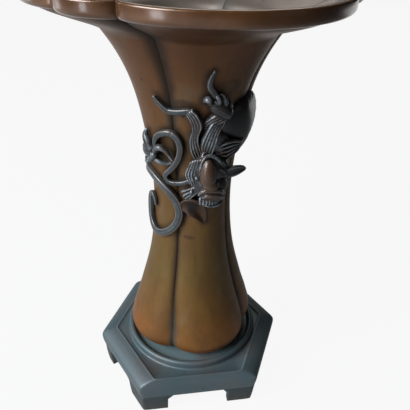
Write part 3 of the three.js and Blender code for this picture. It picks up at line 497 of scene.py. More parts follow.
land_radius = wall_radius(AZIMUTHS, np.zeros(1)) - FOOT_LAND
land_rows = around(AZIMUTHS, land_radius, np.array([[FOOT_LAND_HEIGHT], [0.0]]) + FOOT_HEIGHT)
body_grid = np.concatenate([wall_rows(outer_levels, 0), wall_rows(inner_levels, WALL), land_rows])
vase_body = skin("vase_body_cast", [(body_grid, "joined")])
outer_count = len(outer_levels) * len(AZIMUTHS)
skin_levels = np.concatenate([outer_levels, inner_levels, [FOOT_LAND_HEIGHT, 0.0]])[:, None]
groove_share = (1 - lobe(AZIMUTHS, skin_levels)).ravel()
set_attribute(vase_body, "groove", groove_share)
set_attribute(vase_body, "inside", (np.arange(len(groove_share)) >= outer_count).astype(float))
PITS = [(-17.1, 193.3, 1.5), (-68.1, 57.3, 1.9)]  # azimuth, height above the foot, radius in mm
pit_depth = np.zeros((len(skin_levels), len(AZIMUTHS)))
for azimuth, level, radius in PITS:
    away = np.hypot((AZIMUTHS - azimuth) * np.radians(crest_and_groove(level)[0]), skin_levels - level)
    pit_depth[:len(outer_levels)] += ease(away, radius, radius * 0.5)[:len(outer_levels)]
set_attribute(vase_body, "pit", pit_depth)

body_finish = Finish("body_bronze", {"Metallic": 0.45, "Specular IOR Level": 0.5})
rise = body_finish.height() * (1 / LIP_TOP)
cloud = body_finish.noise(38, 5)
band = body_finish.ramp((rise + (cloud - 0.5) * 0.16).held(), [
    (0.13, paint(140, 86, 36)), (0.22, paint(128, 84, 36)), (0.36, paint(110, 84, 38)),
    (0.55, paint(112, 79, 40)), (0.75, paint(104, 70, 37)), (0.92, paint(108, 66, 34)),
    (1.0, paint(94, 57, 30)),
])
mottle = body_finish.noise(9, 6, roughness=0.65)
streak = body_finish.noise(7, 5, stretch=(1, 1, 0.12))
veil = body_finish.noise(20, 4, stretch=(1, 1, 0.3))
tinted = body_finish.mix((mottle - 0.35).held() * 0.7, band, body_finish.mix(0.75, band, paint(70, 58, 38)))
tinted = body_finish.mix(streak.step(0.52, 0.75) * 0.45, tinted, paint(84, 54, 30))
tinted = body_finish.mix(veil.step(0.5, 0.68) * 0.35, tinted, paint(88, 56, 32))
tinted = body_finish.mix(veil.step(0.48, 0.32) * 0.3, tinted, paint(128, 112, 92))
bloom = body_finish.noise(26, 4).step(0.42, 0.66) * body_finish.height().step(76, 50)
tinted = body_finish.mix(bloom * 0.5, tinted, paint(158, 90, 38))
groove = body_finish.attribute("groove")
# Painted shade darkens the grooves between the lobes, more broadly higher up; near the foot it turns
# blue-green.
groove_shade = (groove + (mottle - 0.5) * 0.14 + rise.step(0.62, 0.85) * 0.1).step(0.52, 0.9)
low_down = body_finish.height().step(88, 56)
groove_shade_colour = body_finish.mix(low_down * 0.8, paint(34, 26, 19), paint(58, 70, 68))
tinted = body_finish.mix(groove_shade * 0.82, tinted, groove_shade_colour)
# Dark patina and painted shade beside the castings, and patches of painted shadow between them.
stain = body_finish.attribute("stain")
smudge_and_shade = (stain + (mottle - 0.5) * 0.5).step(0.25, 0.9)
tinted = body_finish.mix(smudge_and_shade * 0.68, tinted, paint(46, 38, 30))
spot = (body_finish.pits(48).step(0.034, 0.018) + body_finish.attribute("pit")).held()
tinted = body_finish.mix(spot * 0.75, tinted, paint(34, 25, 18))
inside = body_finish.attribute("inside")
tinted = body_finish.mix(inside * 0.8, tinted, paint(124, 114, 106))
body_finish.feed("Base Color", tinted)
body_finish.feed("Roughness", 0.36 + mottle * 0.16 + groove_shade * 0.2 + smudge_and_shade * 0.12)
body_finish.bump([(body_finish.noise(14, 3), 0.25), (body_finish.noise(1.6, 4), 0.05), (spot, -0.15)])
fit(vase_body, body_finish, "body_bronze", "vase_body")

# Lip band
# An upright strip bent to the scallops of the mouth and brazed round the body's edge, with its edges
# eased. Its patina is dark brown and waxed, and rubbed lighter along the edges.
LIP_EDGE = 1.1  # radius of the eased edges
LIP_UNDER_EDGE = 2.8  # the lower outer one is rounder
LIP_EDGE_STEPS = 6
LIP_FILED = 0.2  # mm taken off the strip's outer face
corner_turns = np.linspace(0, np.pi / 2, LIP_EDGE_STEPS)
corners = [  # inset and drop of the arc's centre, its radius and its first turn
    (LIP_UNDER_EDGE, LIP_HEIGHT - LIP_UNDER_EDGE, LIP_UNDER_EDGE, 0),
    (LIP_EDGE, LIP_EDGE, LIP_EDGE, np.pi / 2),
    (LIP_THICKNESS - LIP_EDGE, LIP_EDGE, LIP_EDGE, np.pi),
    (LIP_THICKNESS - LIP_EDGE, LIP_HEIGHT - LIP_EDGE, LIP_EDGE, 3 * np.pi / 2),
]


def corner_arc(inset, drop, radius, start):
    """A quarter circle of the section, turning on from its first turn, as rows of inset and drop."""
    turn = start + corner_turns
    return np.column_stack([inset - radius * np.sin(turn), drop + radius * np.cos(turn)])


section = np.vstack([corner_arc(*corner) for corner in corners])
lip_grid = around(AZIMUTHS, lip_radius(AZIMUTHS) - LIP_FILED - section[:, :1], LIP_TOP - section[:, 1:])
lip_band = skin("lip_band_strip", [(lip_grid, "joined")])
from_edge = np.abs(LIP_HEIGHT / 2 - section[:, 1]) / (LIP_HEIGHT / 2)
set_attribute(lip_band, "edge", np.repeat(from_edge, len(AZIMUTHS)))

lip_finish = Finish("lip_bronze", {
    "Metallic": 0.4, "Specular IOR Level": 0.5, "Coat Weight": 0.8, "Coat Roughness": 0.16,
})
lip_cloud = lip_finish.noise(22, 5)
lip_grain = lip_finish.noise(4, 5)
lip_colour = lip_finish.mix(lip_cloud.step(0.35, 0.7), paint(86, 52, 27), paint(108, 70, 40))
rub = (lip_finish.attribute("edge") + (lip_grain - 0.5) * 0.5).step(0.8, 1.05)
lip_colour = lip_finish.mix(rub * 0.6, lip_colour, paint(122, 88, 58))
lip_finish.feed("Base Color", lip_colour)
lip_finish.feed("Roughness", 0.26 + lip_grain * 0.18)
lip_finish.bump([(lip_cloud, 0.3), (lip_grain, 0.06)])
fit(lip_band, lip_finish, "lip_bronze", "lip_band")

# Bottom plate and its fixing
# A flat plate soldered inside the foot, drawn down on the stand by a stud, washer and nut on the axis.
# Turned and drilled metal that keeps the shape of its CAD solids, under a plain brown or brass finish.
plate_finish = Finish("plate_bronze", {"Metallic": 0.6})
plate_cloud = plate_finish.noise(12, 5)
plate_colour = plate_finish.mix(plate_cloud.step(0.3, 0.75), paint(84, 62, 40), paint(58, 50, 38))
plate_finish.feed("Base Color", plate_colour)
plate_finish.feed("Roughness", 0.5 + plate_cloud * 0.2)
plate_finish.bump([(plate_finish.noise(1.5, 4), 0.06)])
brass_finish = Finish("fixing_brass", {"Metallic": 0.9})
brass_lines = brass_finish.noise(2.5, 4, stretch=(1, 1, 8))
tarnish = brass_finish.noise(6, 5).step(0.4, 0.75)
brass_finish.feed("Base Color", brass_finish.mix(tarnish * 0.6, paint(186, 150, 84), paint(96, 78, 50)))
brass_finish.feed("Roughness", 0.3 + brass_lines * 0.15 + tarnish * 0.2)
brass_finish.bump([(brass_lines, 0.04)])


def refinish(name, finish):
    """Puts a finish on a CAD node that keeps its own shape."""
    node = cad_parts[name]
    node.data.materials.clear()
    node.data.materials.append(finish.material)


refinish("bottom_plate", plate_finish)
for fixing in ("tie_stud", "tie_washer", "tie_nut"):
    refinish(fixing, brass_finish)

# Stand
# One hollow casting: a six-sided slab with a swelling skirt, a raised ridge round the top panel, and
# a round floor with a beaded ring in which the vase sits. Its patina is blue-grey with brown patches on
# top; a painted highlight lightens the ridge, and painted light lightens the floor inside the ring.
STAND_FRONT = 59.6  # centre to the front and back sides at the widest level
STAND_SLANT = 66.2
STAND_SLANT_ANGLE = 63.7  # degrees, azimuth of a slanted side's normal
STAND_PLACE = [-1.4, -1.3, 0]  # the stand's centre, from the vase's axis
STAND_WALL = 4.5
CORNER_SHARPNESS = 90  # power of the blend at the corners; a higher one is sharper
SKIRT_HEIGHT = 18.8
WIDEST_HEIGHT = 28.6
FLOOR_HEIGHT = 37.7
ROOF_HEIGHT = 32.8  # underside of the floor
PANEL_HEIGHT = 35.3
RING_RADIUS = 49.4
RING_HALF_WIDTH = 2.2
RING_RISE = 3.5
RING_COVE = 1.5
STUD_HOLE = 3.3
SKIRT_INSET = (0.6, 1.7)
SLAB_SIDE = [  # inset of the front side, inset of the slanted sides, height
    (*SKIRT_INSET, SKIRT_HEIGHT), (0.3, 0.8, 21.6), (0.1, 0.2, 25), (0, 0, WIDEST_HEIGHT), (0.3, 0.8, 31),
    (1.1, 3.5, 33.2), (2.0, 7.0, 34.9), (2.6, 10.2, 35.9), (3.1, 11.6, 36.2), (4.3, 12.8, PANEL_HEIGHT),
]
SIDE_ROWS = 73
RIDGE_ROWS = slice(60, 70)  # the rows of the side that lie on the ridge
HEX_STEPS = 40  # columns for each side

side_normals = np.array([
    0, STAND_SLANT_ANGLE, 180 - STAND_SLANT_ANGLE, 180, 180 + STAND_SLANT_ANGLE, -STAND_SLANT_ANGLE,
])
slant_turn = np.radians(STAND_SLANT_ANGLE)
corner_x = (STAND_SLANT - STAND_FRONT * np.cos(slant_turn)) / np.sin(slant_turn)
corner_azimuth = np.degrees(np.arctan2(corner_x, STAND_FRONT))
corner_azimuths = np.array([
    -corner_azimuth, corner_azimuth, 90, 180 - corner_azimuth, 180 + corner_azimuth, 270,
])
next_azimuths = np.append(corner_azimuths[1:], 360 - corner_azimuth)
side_share = (1 - np.cos(np.pi * np.arange(HEX_STEPS) / HEX_STEPS)) / 2
HEX_AZIMUTHS = (corner_azimuths[:, None] + (next_azimuths - corner_azimuths)[:, None] * side_share).ravel()


def hexagon_rows(front_inset, slant_inset, height):
    """Rows of the stand's six-sided outline. Along an azimuth the radius is the least of the sides'
    distances d / cos(azimuth - normal), taken as a soft minimum so that the corners are rounded."""
    front = STAND_FRONT - np.c_[front_inset]
    slanted = STAND_SLANT - np.c_[slant_inset]
    distance = np.where(side_normals % 180 == 0, front, slanted)
    facing = np.cos(np.radians(HEX_AZIMUTHS[None, :, None] - side_normals))
    share = np.maximum(facing, 0) / distance[:, None, :]
    radius = np.sum(share**CORNER_SHARPNESS, axis=-1) ** (-1 / CORNER_SHARPNESS)
    return around(HEX_AZIMUTHS, radius, np.c_[height]) + STAND_PLACE


def circle_rows(rows):
    """Rows of circles about the vase's axis from [radius, height] pairs."""
    rows = np.asarray(rows, float)
    return around(HEX_AZIMUTHS, rows[:, :1], rows[:, 1:])


slab_side = curve_through(SLAB_SIDE, SIDE_ROWS)
bead_turns = np.linspace(0, np.pi, 13)
bead_top = FLOOR_HEIGHT + RING_RISE - RING_HALF_WIDTH
bead = [
    (RING_RADIUS + RING_HALF_WIDTH * np.cos(turn), bead_top + RING_HALF_WIDTH * np.sin(turn))
    for turn in bead_turns
]
cove_turns = np.linspace(0, np.pi / 2, 7)
bead_outside = RING_RADIUS + RING_HALF_WIDTH
cove = [
    (bead_outside + RING_COVE * (1 - np.sin(turn)), PANEL_HEIGHT + RING_COVE * (1 - np.cos(turn)))
    for turn in cove_turns
]
floor_radii = [RING_RADIUS - RING_HALF_WIDTH, 46, 43, 39, 34, 26, 16, 8, STUD_HOLE]
well = [(radius, FLOOR_HEIGHT) for radius in floor_radii] + [(STUD_HOLE, ROOF_HEIGHT)]
inset_side = np.add(SKIRT_INSET, STAND_WALL)
inset_roof = (SKIRT_INSET[0] + 2 * STAND_WALL, SKIRT_INSET[1] + 3 * STAND_WALL)
underside = hexagon_rows(
    [inset_roof[0], inset_side[0], inset_side[0]], [inset_roof[1], inset_side[1], inset_side[1]],
    [ROOF_HEIGHT, WIDEST_HEIGHT - 2, SKIRT_HEIGHT],
)
slab_grid = np.concatenate([hexagon_rows(*slab_side.T), circle_rows(cove + bead + well), underside])
stand_slab = skin("stand_slab_cast", [(slab_grid, "joined")])
ridge_highlight_rows = np.zeros(len(slab_grid))
ridge_highlight_rows[RIDGE_ROWS] = 1
well_light_rows = np.zeros(len(slab_grid))
well_light_rows[len(slab_side) + len(cove) + len(bead):-len(underside)] = 1
set_attribute(stand_slab, "ridge", np.repeat(ridge_highlight_rows, len(HEX_AZIMUTHS)))
set_attribute(stand_slab, "well", np.repeat(well_light_rows, len(HEX_AZIMUTHS)))

stand_finish = Finish("stand_bronze", {"Metallic": 0.4, "Specular IOR Level": 0.5})
stand_cloud = stand_finish.noise(30, 5)
stand_grain = stand_finish.noise(5, 6, roughness=0.65)
stand_colour = stand_finish.mix(stand_cloud.step(0.35, 0.7), paint(84, 102, 106), paint(98, 104, 106))
stand_colour = stand_finish.mix(stand_grain.step(0.55, 0.8) * 0.5, stand_colour, paint(70, 66, 64))
# Painted highlight along the ridge.
stand_colour = stand_finish.mix(stand_finish.attribute("ridge") * 0.3, stand_colour, paint(150, 156, 160))
# Painted light lightens the floor inside the ring, which lies in the vase's shade.
stand_colour = stand_finish.mix(stand_finish.attribute("well") * 0.6, stand_colour, paint(138, 160, 164))
brown_patch = stand_finish.noise(24, 4).step(0.52, 0.72) * stand_finish.height().step(34, 36)
stand_colour = stand_finish.mix(brown_patch * 0.5, stand_colour, paint(108, 92, 84))
stand_finish.feed("Base Color", stand_colour)
stand_finish.feed("Roughness", 0.4 + stand_grain * 0.2)
stand_finish.bump([(stand_cloud, 0.3), (stand_grain, 0.08), (stand_finish.noise(1.2, 4), 0.04)])
fit(stand_slab, stand_finish, "stand_bronze", "stand_slab")

# Feet
# Six bracket feet under the stand's corners, each bent round its corner and spreading into the skirt
# with a cove at either end. Cast with the stand's colour, but browner and duller near the ground.
FOOT_ARM = 19.0
SIDE_FOOT_ARM = 9.0  # left and right feet
FOOT_COVE = 4.0
FOOT_TOP = SKIRT_HEIGHT - 0.3
FOOT_LEVELS = [(3.8, 3.4, 0), (2.7, 2.8, 4), (1.3, 2.1, 11), (*SKIRT_INSET, FOOT_TOP)]
FOOT_INNER = (3.8 + STAND_WALL, 3.4 + STAND_WALL)
FOOT_BEND = 1.2  # softness of the bend at the corner
FOOT_NAMES = ("front_left", "front_right", "right", "back_right", "back_left", "left")
FOOT_COLUMNS = 14
FOOT_ROWS = 61


def foot_corner(index, front_inset, slant_inset):
    """Where the two sides beside a corner meet, at the insets given: the point with n . p = d for both."""
    sides = side_normals[[index - 1, index]]
    normals = np.column_stack([np.sin(np.radians(sides)), -np.cos(np.radians(sides))])
    distances = np.where(
        (sides % 180 == 0)[:, None],
        STAND_FRONT - np.atleast_1d(front_inset), STAND_SLANT - np.atleast_1d(slant_inset),
    )
    return np.linalg.solve(normals, distances).T + STAND_PLACE[:2]


def foot_grid(index):
    """A foot as its section carried along the bent outline. The section is a loop up the outer face and
    down the inner one. At height z each end stands at the arm plus the cove's reach from the ground corner,
    and that reach is cove - sqrt(cove^2 - (z - springing)^2). The bend is the smooth step
    (s + sqrt(s^2 + b^2)) / 2."""
    outer = curve_through(FOOT_LEVELS, FOOT_COLUMNS)
    inner_heights = np.linspace(FOOT_TOP, 0, FOOT_COLUMNS)
    front = np.concatenate([outer[:, 0], np.full(FOOT_COLUMNS, FOOT_INNER[0])])
    slant = np.concatenate([outer[:, 1], np.full(FOOT_COLUMNS, FOOT_INNER[1])])
    height = np.concatenate([outer[:, 2], inner_heights])
    corner = foot_corner(index, front, slant)
    ground = foot_corner(index, FOOT_LEVELS[0][0], FOOT_LEVELS[0][1])[0]
    azimuths = np.radians(side_normals[[index - 1, index]])
    along = np.column_stack([np.cos(azimuths), np.sin(azimuths)])
    rise = np.clip(height - (FOOT_TOP - FOOT_COVE), 0, FOOT_COVE)
    arm = SIDE_FOOT_ARM if FOOT_NAMES[index] in ("left", "right") else FOOT_ARM
    reach = arm + FOOT_COVE - np.sqrt(FOOT_COVE**2 - rise**2)
    back = (ground - corner) @ -along[0] + reach
    ahead_reach = (ground - corner) @ along[1] + reach
    step = np.linspace(-1, 1, FOOT_ROWS)[:, None]
    route = np.where(step < 0, step * back, step * ahead_reach)
    before = (np.sqrt(route**2 + FOOT_BEND**2) - route) / 2
    after = (np.sqrt(route**2 + FOOT_BEND**2) + route) / 2
    plan = corner - before[..., None] * along[0] + after[..., None] * along[1]
    return np.concatenate([plan, np.broadcast_to(height[:, None], (*plan.shape[:2], 1))], axis=-1)


foot_finish = Finish("foot_bronze", {"Metallic": 0.35, "Specular IOR Level": 0.5})
foot_grain = foot_finish.noise(6, 6, roughness=0.65)
low = foot_finish.height().step(16, 2)
browner = (low * 0.7 + (foot_grain - 0.5) * 0.5).held()
foot_colour = foot_finish.mix(browner, paint(66, 74, 76), paint(74, 68, 58))
foot_colour = foot_finish.mix(foot_grain.step(0.55, 0.8) * 0.5, foot_colour, paint(40, 37, 34))
foot_finish.feed("Base Color", foot_colour)
foot_finish.feed("Roughness", 0.45 + foot_grain * 0.2)
foot_finish.bump([(foot_grain, 0.15), (foot_finish.noise(1.2, 4), 0.05)])
for index, name in enumerate(FOOT_NAMES):
    foot = skin(f"foot_{name}", [(foot_grid(index), "capped")])
    fit(foot, foot_finish, "foot_bronze", f"stand_foot_{name}")

# Tendril, flame, whisker and tail of the dragon
# Thin wax-cast strands laid on the wall and soldered down. Each is one closed skin carried along its
# route, dark blue-grey, with the patina rubbed through along two raised lines.
BRIDGE = 0.3  # a casting dips this share of the way into a groove that it crosses
RELIEF_ROUNDS = 6  # passes of neighbour averaging that relief is measured against
RELIEF_DEPTH = 0.12  # mm of relief that counts as fully raised or fully sunk
END_FLAT = 0.05  # mm by which a strand's rounded ends are cut short
TAIL_ROUTE = [  # azimuth, height above the ground, lift above the wall, half width, half depth
    (-96, 184, 1, 2.5, 2.3), (-84, 184, 1.4, 2.7, 2.5), (-71, 184.4, 1.5, 2.8, 2.5),
    (-58, 182, 1.5, 2.8, 2.5), (-44, 177.6, 1.5, 2.8, 2.5), (-33, 172, 1.5, 2.8, 2.5),
    (-26, 165, 1.5, 2.7, 2.4), (-25.5, 157.5, 1.5, 2.6, 2.4), (-32, 149.5, 1.5, 2.6, 2.4),
    (-45, 143, 1.5, 2.6, 2.4), (-61, 140, 1.5, 2.6, 2.4), (-74, 142.5, 1.5, 2.6, 2.4),
    (-82, 149, 1.9, 2.6, 2.4), (-84, 157, 2, 2.5, 2.4), (-83, 163, 1.9, 2.2, 2.2),
    (-76, 166.4, 1.7, 1.8, 1.9), (-70, 164, 1.4, 1.5, 1.6), (-68, 158.5, 1.2, 1, 1.1),
]
WHISKER_ROUTE = [
    (-4, 187.6, 2.6, 1.5, 1.6), (-10.6, 187, 1.6, 1.6, 1.7), (-18, 185, 1.3, 1.6, 1.7),
    (-26, 183.6, 1.2, 1.6, 1.7), (-34, 183, 1.2, 1.6, 1.7), (-40, 183.8, 1.2, 1.6, 1.7),
    (-43.2, 186.4, 1.2, 1.6, 1.7), (-41, 189.4, 1.2, 1.7, 1.8), (-34, 193.6, 1.2, 1.8, 1.9),
    (-27, 199, 1.2, 1.9, 2), (-22.4, 205, 1.2, 2, 2.1), (-21, 211.4, 1.2, 2, 2.1),
    (-24.5, 217, 1.2, 2, 2.1), (-31, 219.6, 1.2, 2, 2.1), (-39.8, 218.6, 1.3, 2, 2.1),
    (-47.5, 215.4, 1.5, 1.9, 2), (-51.5, 210.5, 2, 1.6, 1.8), (-51, 206, 2.6, 1.3, 1.5),
]
TENDRIL_ROUTE = [
    (-43, 243, 0.9, 0.9, 1), (-38, 239, 1.2, 1.4, 1.5), (-31, 235, 1.2, 1.7, 1.8),
    (-22, 235, 1.2, 1.8, 1.9), (-13, 236, 1.3, 1.9, 2), (-8, 236, 1.6, 1.9, 2),
]
FLAME_ROUTE = [
    (6.2, 261.6, 1, 0.6, 0.8), (4, 256.8, 1.4, 1.2, 1.4), (4.2, 252, 1.6, 1.6, 1.7),
    (8, 247.4, 1.8, 1.7, 1.7), (10.5, 244.5, 2.2, 1.4, 1.5),
]


def wall_point(azimuth, height, lift):
    """A point above the wall. Only the share BRIDGE of a groove's depth is followed."""
    crest, groove = crest_and_groove(height - FOOT_HEIGHT)
    untwisted = lobe(azimuth, TWIST_LEVELS[-1])
    return around(azimuth, crest - BRIDGE * groove * (1 - untwisted) + lift, height)


def unit(vectors):
    """The same directions with length 1."""
    return vectors / np.linalg.norm(vectors, axis=-1, keepdims=True)


def wall_normal(azimuth, height):
    """Outward direction square to the lobes' crests."""
    low = crest_and_groove(height - FOOT_HEIGHT - 1)[0]
    high = crest_and_groove(height - FOOT_HEIGHT + 1)[0]
    return unit(around(azimuth, 1.0, (low - high) / 2))


def sweep(middle, normal, half_width, half_depth, sides, relief=None, dish=0.0):
    """A closed skin round a path. At each step the section is the ellipse width sin(turn) across the path
    and depth cos(turn) along the normal, moved out by relief(turn, along) and hollowed on its upper side
    by dish cos(turn)^3. Near either end it narrows as the end of a ball does."""
    forward = unit(np.gradient(middle, axis=0))
    normal = unit(normal - forward * np.sum(normal * forward, axis=-1, keepdims=True))
    sideways = np.cross(forward, normal)
    length = np.concatenate([[0], np.cumsum(np.linalg.norm(np.diff(middle, axis=0), axis=1))])
    nearest_end = np.minimum(length, length[-1] - length)
    rounded = np.clip((nearest_end + END_FLAT) / half_width, 0, 1)
    blunt = np.sqrt(1 - (1 - rounded) ** 2)[:, None]
    turn = np.linspace(0, 2 * np.pi, sides, endpoint=False)[None]
    along = (length / length[-1])[:, None]
    grown = relief(turn, along) if relief else 0.0
    hollow = dish * np.maximum(np.cos(turn), 0) ** 3 * np.sin(np.pi * along)
    across = (half_width[:, None] + grown) * blunt * np.sin(turn)
    out = ((half_depth[:, None] + grown) * np.cos(turn) - hollow) * blunt
    return middle[:, None] + across[..., None] * sideways[:, None] + out[..., None] * normal[:, None]


def limb(route, steps=80, sides=20, relief=None, dish=0.0):
    """A strand along the wall through rows of azimuth, height, lift, half width and half depth."""
    azimuth, height, lift, half_width, half_depth = curve_through(route, steps).T
    middle = wall_point(azimuth, height, lift)
    normal = wall_normal(azimuth, height)
    return sweep(middle, normal, half_width, half_depth, sides, relief, dish), "capped"


def measure_relief(piece):
    """Keeps on each point how far it stands out from its smoothed surroundings, from -1 to 1."""
    mesh = piece.data
    points = points_of(mesh)
    count = len(points)
    edges = np.empty(len(mesh.edges) * 2, np.int64)
    mesh.edges.foreach_get("vertices", edges)
    starts, ends = edges.reshape(-1, 2).T
    degree = np.bincount(edges, minlength=count)[:, None]
    smooth = points
    for _ in range(RELIEF_ROUNDS):
        total = np.stack([
            np.bincount(starts, smooth[ends, axis], count) + np.bincount(ends, smooth[starts, axis], count)
            for axis in range(3)
        ], axis=1)
        smooth = (smooth + total / degree) / 2
    normals = np.empty(count * 3)
    mesh.vertices.foreach_get("normal", normals)
    stands = np.sum((points - smooth) * normals.reshape(-1, 3), axis=1)
    set_attribute(piece, "wear", np.clip(stands / RELIEF_DEPTH, -1, 1))


def rims(place, width, height):
    """Relief for a strand: a raised line along it on either side of its back, place radians from the
    middle and with a bell-shaped section."""
    def relief(turn, along):
        away = np.minimum(turn, 2 * np.pi - turn) - place
        return height * np.exp(-((away / width) ** 2)) * np.sin(np.pi * along) ** 0.3
    return relief


dragon_finish = Finish("dragon_bronze", {
    "Metallic": 0.3, "Specular IOR Level": 0.6, "Coat Roughness": 0.22,
})
wear = dragon_finish.attribute("wear")
dragon_grain = dragon_finish.noise(3.5, 6, roughness=0.65)
dragon_cloud = dragon_finish.noise(14, 4)
dragon_colour = dragon_finish.mix(dragon_cloud.step(0.35, 0.7), paint(20, 17, 19), paint(32, 26, 26))
strand = dragon_finish.attribute("strand")
dragon_colour = dragon_finish.mix(
    strand * (0.55 + dragon_cloud.step(0.4, 0.6) * 0.4), dragon_colour, paint(50, 62, 66))
dragon_colour = dragon_finish.mix(wear.step(0.0, -0.6) * 0.9, dragon_colour, paint(12, 11, 12))
# Raised places are painted lighter: a blue-grey painted sheen with brown patches where the patina is rubbed
# through, and a pinkish-grey rub on the strands.
rub_and_sheen = (wear + (dragon_grain - 0.5) * 0.6).step(0.1, 0.8)
browned = dragon_finish.noise(9, 4).step(0.46, 0.62)
rub_and_sheen_colour = dragon_finish.mix(browned * 0.8, paint(152, 160, 166), paint(112, 84, 66))
rub_and_sheen_colour = dragon_finish.mix(strand, rub_and_sheen_colour, paint(122, 108, 102))
dragon_colour = dragon_finish.mix(rub_and_sheen * 0.8, dragon_colour, rub_and_sheen_colour)
polished = dragon_finish.attribute("polished") * (0.75 + dragon_grain * 0.5)
dragon_colour = dragon_finish.mix(polished.held() * 0.85, dragon_colour, paint(84, 57, 38))
leaf = dragon_finish.attribute("leaf")
dragon_colour = dragon_finish.mix(leaf * 0.95, dragon_colour, paint(60, 36, 17))
# Painted shade, kept in the hollow attribute: the head's right side, the whole right ear and the left ear's
# cup.
hollow = dragon_finish.attribute("hollow")
dragon_colour = dragon_finish.mix(hollow * 0.85, dragon_colour, paint(20, 19, 16))
dragon_finish.feed("Base Color", dragon_colour)
dragon_finish.feed("Roughness", 0.34 + dragon_grain * 0.2 - rub_and_sheen * 0.06 + leaf * 0.22)
dragon_finish.feed("Coat Weight", (0.45 - leaf * 0.4 - hollow * 0.4).held())
dragon_finish.bump([(dragon_grain, 0.12), (dragon_finish.noise(1.0, 4), 0.04)])


def lay_casting(name, shells, *nodes):
    """A casting of the dragon made of closed shells, with its relief measured and its finish on."""
    piece = skin(name, shells)
    measure_relief(piece)
    fit(piece, dragon_finish, "dragon_bronze", *nodes)
    return piece


STRANDS = [  # name, route, steps, sides, and the rims' place, width and height
    ("tail", TAIL_ROUTE, 260, 44, (0.95, 0.26, 0.42)),
    ("whisker", WHISKER_ROUTE, 260, 40, (0.8, 0.3, 0.3)),
    ("top_tendril", TENDRIL_ROUTE, 90, 40, (0.8, 0.3, 0.3)),
    ("flame", FLAME_ROUTE, 60, 36, (0.8, 0.3, 0.25)),
]
castings = [
    lay_casting(f"{name}_strand", [limb(route, steps, sides, rims(*rim_sizes))], f"dragon_{name}")
    for name, route, steps, sides, rim_sizes in STRANDS
]
for piece in castings:
    set_attribute(piece, "strand", np.ones(len(piece.data.vertices)))

# Mane of the dragon
# Two bundles of wavy hair that run from the tendril and the forearm down to the crown of the head.
# Each strand is modelled in wax beside the next and the bundle is cast in one.
MANE_GRAIN = 0.34  # mm, cell of the remesh that joins the strands
STRAND_SLIM = 0.62  # share of its half width that a strand keeps, so that a deep line is left beside it
LEFT_MANE = [  # the bundle's two edges
    [(-9.5, 237.6, 2.4, 1.3, 1.8), (-4.6, 234.5, 3.2, 1.8, 2.4), (-1.2, 228, 3.6, 1.8, 2.6),
     (-3.6, 220.5, 3.4, 1.7, 2.4), (-2.2, 214, 3.8, 1.5, 2.2), (1, 207.5, 4.2, 1.0, 1.6)],
    [(-14, 235.4, 1.2, 1.2, 1.6), (-9.6, 231, 2.0, 1.7, 2.2), (-7.4, 224.5, 2.2, 1.7, 2.2),
     (-9.8, 217, 2.2, 1.6, 2.2), (-8.6, 210, 2.8, 1.4, 2.2), (-4.6, 203.8, 3.6, 1.0, 1.6)],
]
RIGHT_MANE = [
    [(12, 231.5, 4, 1.2, 1.6), (7, 228, 4.8, 1.6, 2.2), (2.6, 221.5, 5.2, 1.8, 2.6),
     (0.4, 214.5, 5.2, 1.6, 2.4), (2.6, 207.5, 5.2, 1.0, 1.6)],
    [(17.5, 230.5, 6.2, 1.1, 1.6), (12.6, 225, 7, 1.6, 2.2), (10.4, 218, 7.4, 1.8, 2.6),
     (8.6, 211.5, 7, 1.6, 2.4), (7.4, 206.5, 6, 1.0, 1.6)],
]


def bundle(edges, strands, steps=70, sides=16):
    """Strands whose routes are even blends of the bundle's two edge routes, slimmed by STRAND_SLIM."""
    first, last = (np.asarray(edge, float) for edge in edges)
    slimming = [1, 1, 1, STRAND_SLIM, 1]
    shares = np.linspace(0, 1, strands)
    return [limb((first * (1 - share) + last * share) * slimming, steps, sides) for share in shares]


def cast_in_one(name, shells, grain):
    """Joins overlapping closed shells into one skin: a voxel remesh with cells of grain millimetres and
    a light smoothing, applied to the mesh."""
    rough = skin(name + "_wax", shells)
    remesh = rough.modifiers.new("join", "REMESH")
    remesh.mode = "VOXEL"
    remesh.voxel_size = grain * MM
    remesh.use_smooth_shade = True
    relax = rough.modifiers.new("ease", "SMOOTH")
    relax.factor = 0.5
    relax.iterations = 2
    joined = bpy.data.meshes.new_from_object(rough.evaluated_get(bpy.context.evaluated_depsgraph_get()))
    joined.name = name
    bpy.data.objects.remove(rough)
    return link_object(name, joined)


def pour_casting(name, shells, grain, *nodes):
    """A casting of the dragon whose shells are joined in one, with its relief measured and its finish on.
    """
    piece = cast_in_one(name, shells, grain)
    measure_relief(piece)
    fit(piece, dragon_finish, "dragon_bronze", *nodes)
    return piece


castings += [
    pour_casting("mane_left_strands", bundle(LEFT_MANE, 4), MANE_GRAIN, "dragon_mane_left"),
    pour_casting("mane_right_strands", bundle(RIGHT_MANE, 5), MANE_GRAIN, "dragon_mane_right"),
]

# Head of the dragon
# The head hangs face down on the wall: a skull under a hood of hair, a smooth swollen bridge rubbed
# brown by dusting, rolled lips over a row of teeth, and waved curls behind the cheeks.
HEAD_TURN = np.radians(8)
HEAD_GRAIN = 0.34
head_side = np.array([np.cos(HEAD_TURN), np.sin(HEAD_TURN), 0])
head_out = np.array([np.sin(HEAD_TURN), -np.cos(HEAD_TURN), 0])
HEAD_AXES = np.stack([head_side, [0, 0, 1], head_out])  # rows for side, up and out


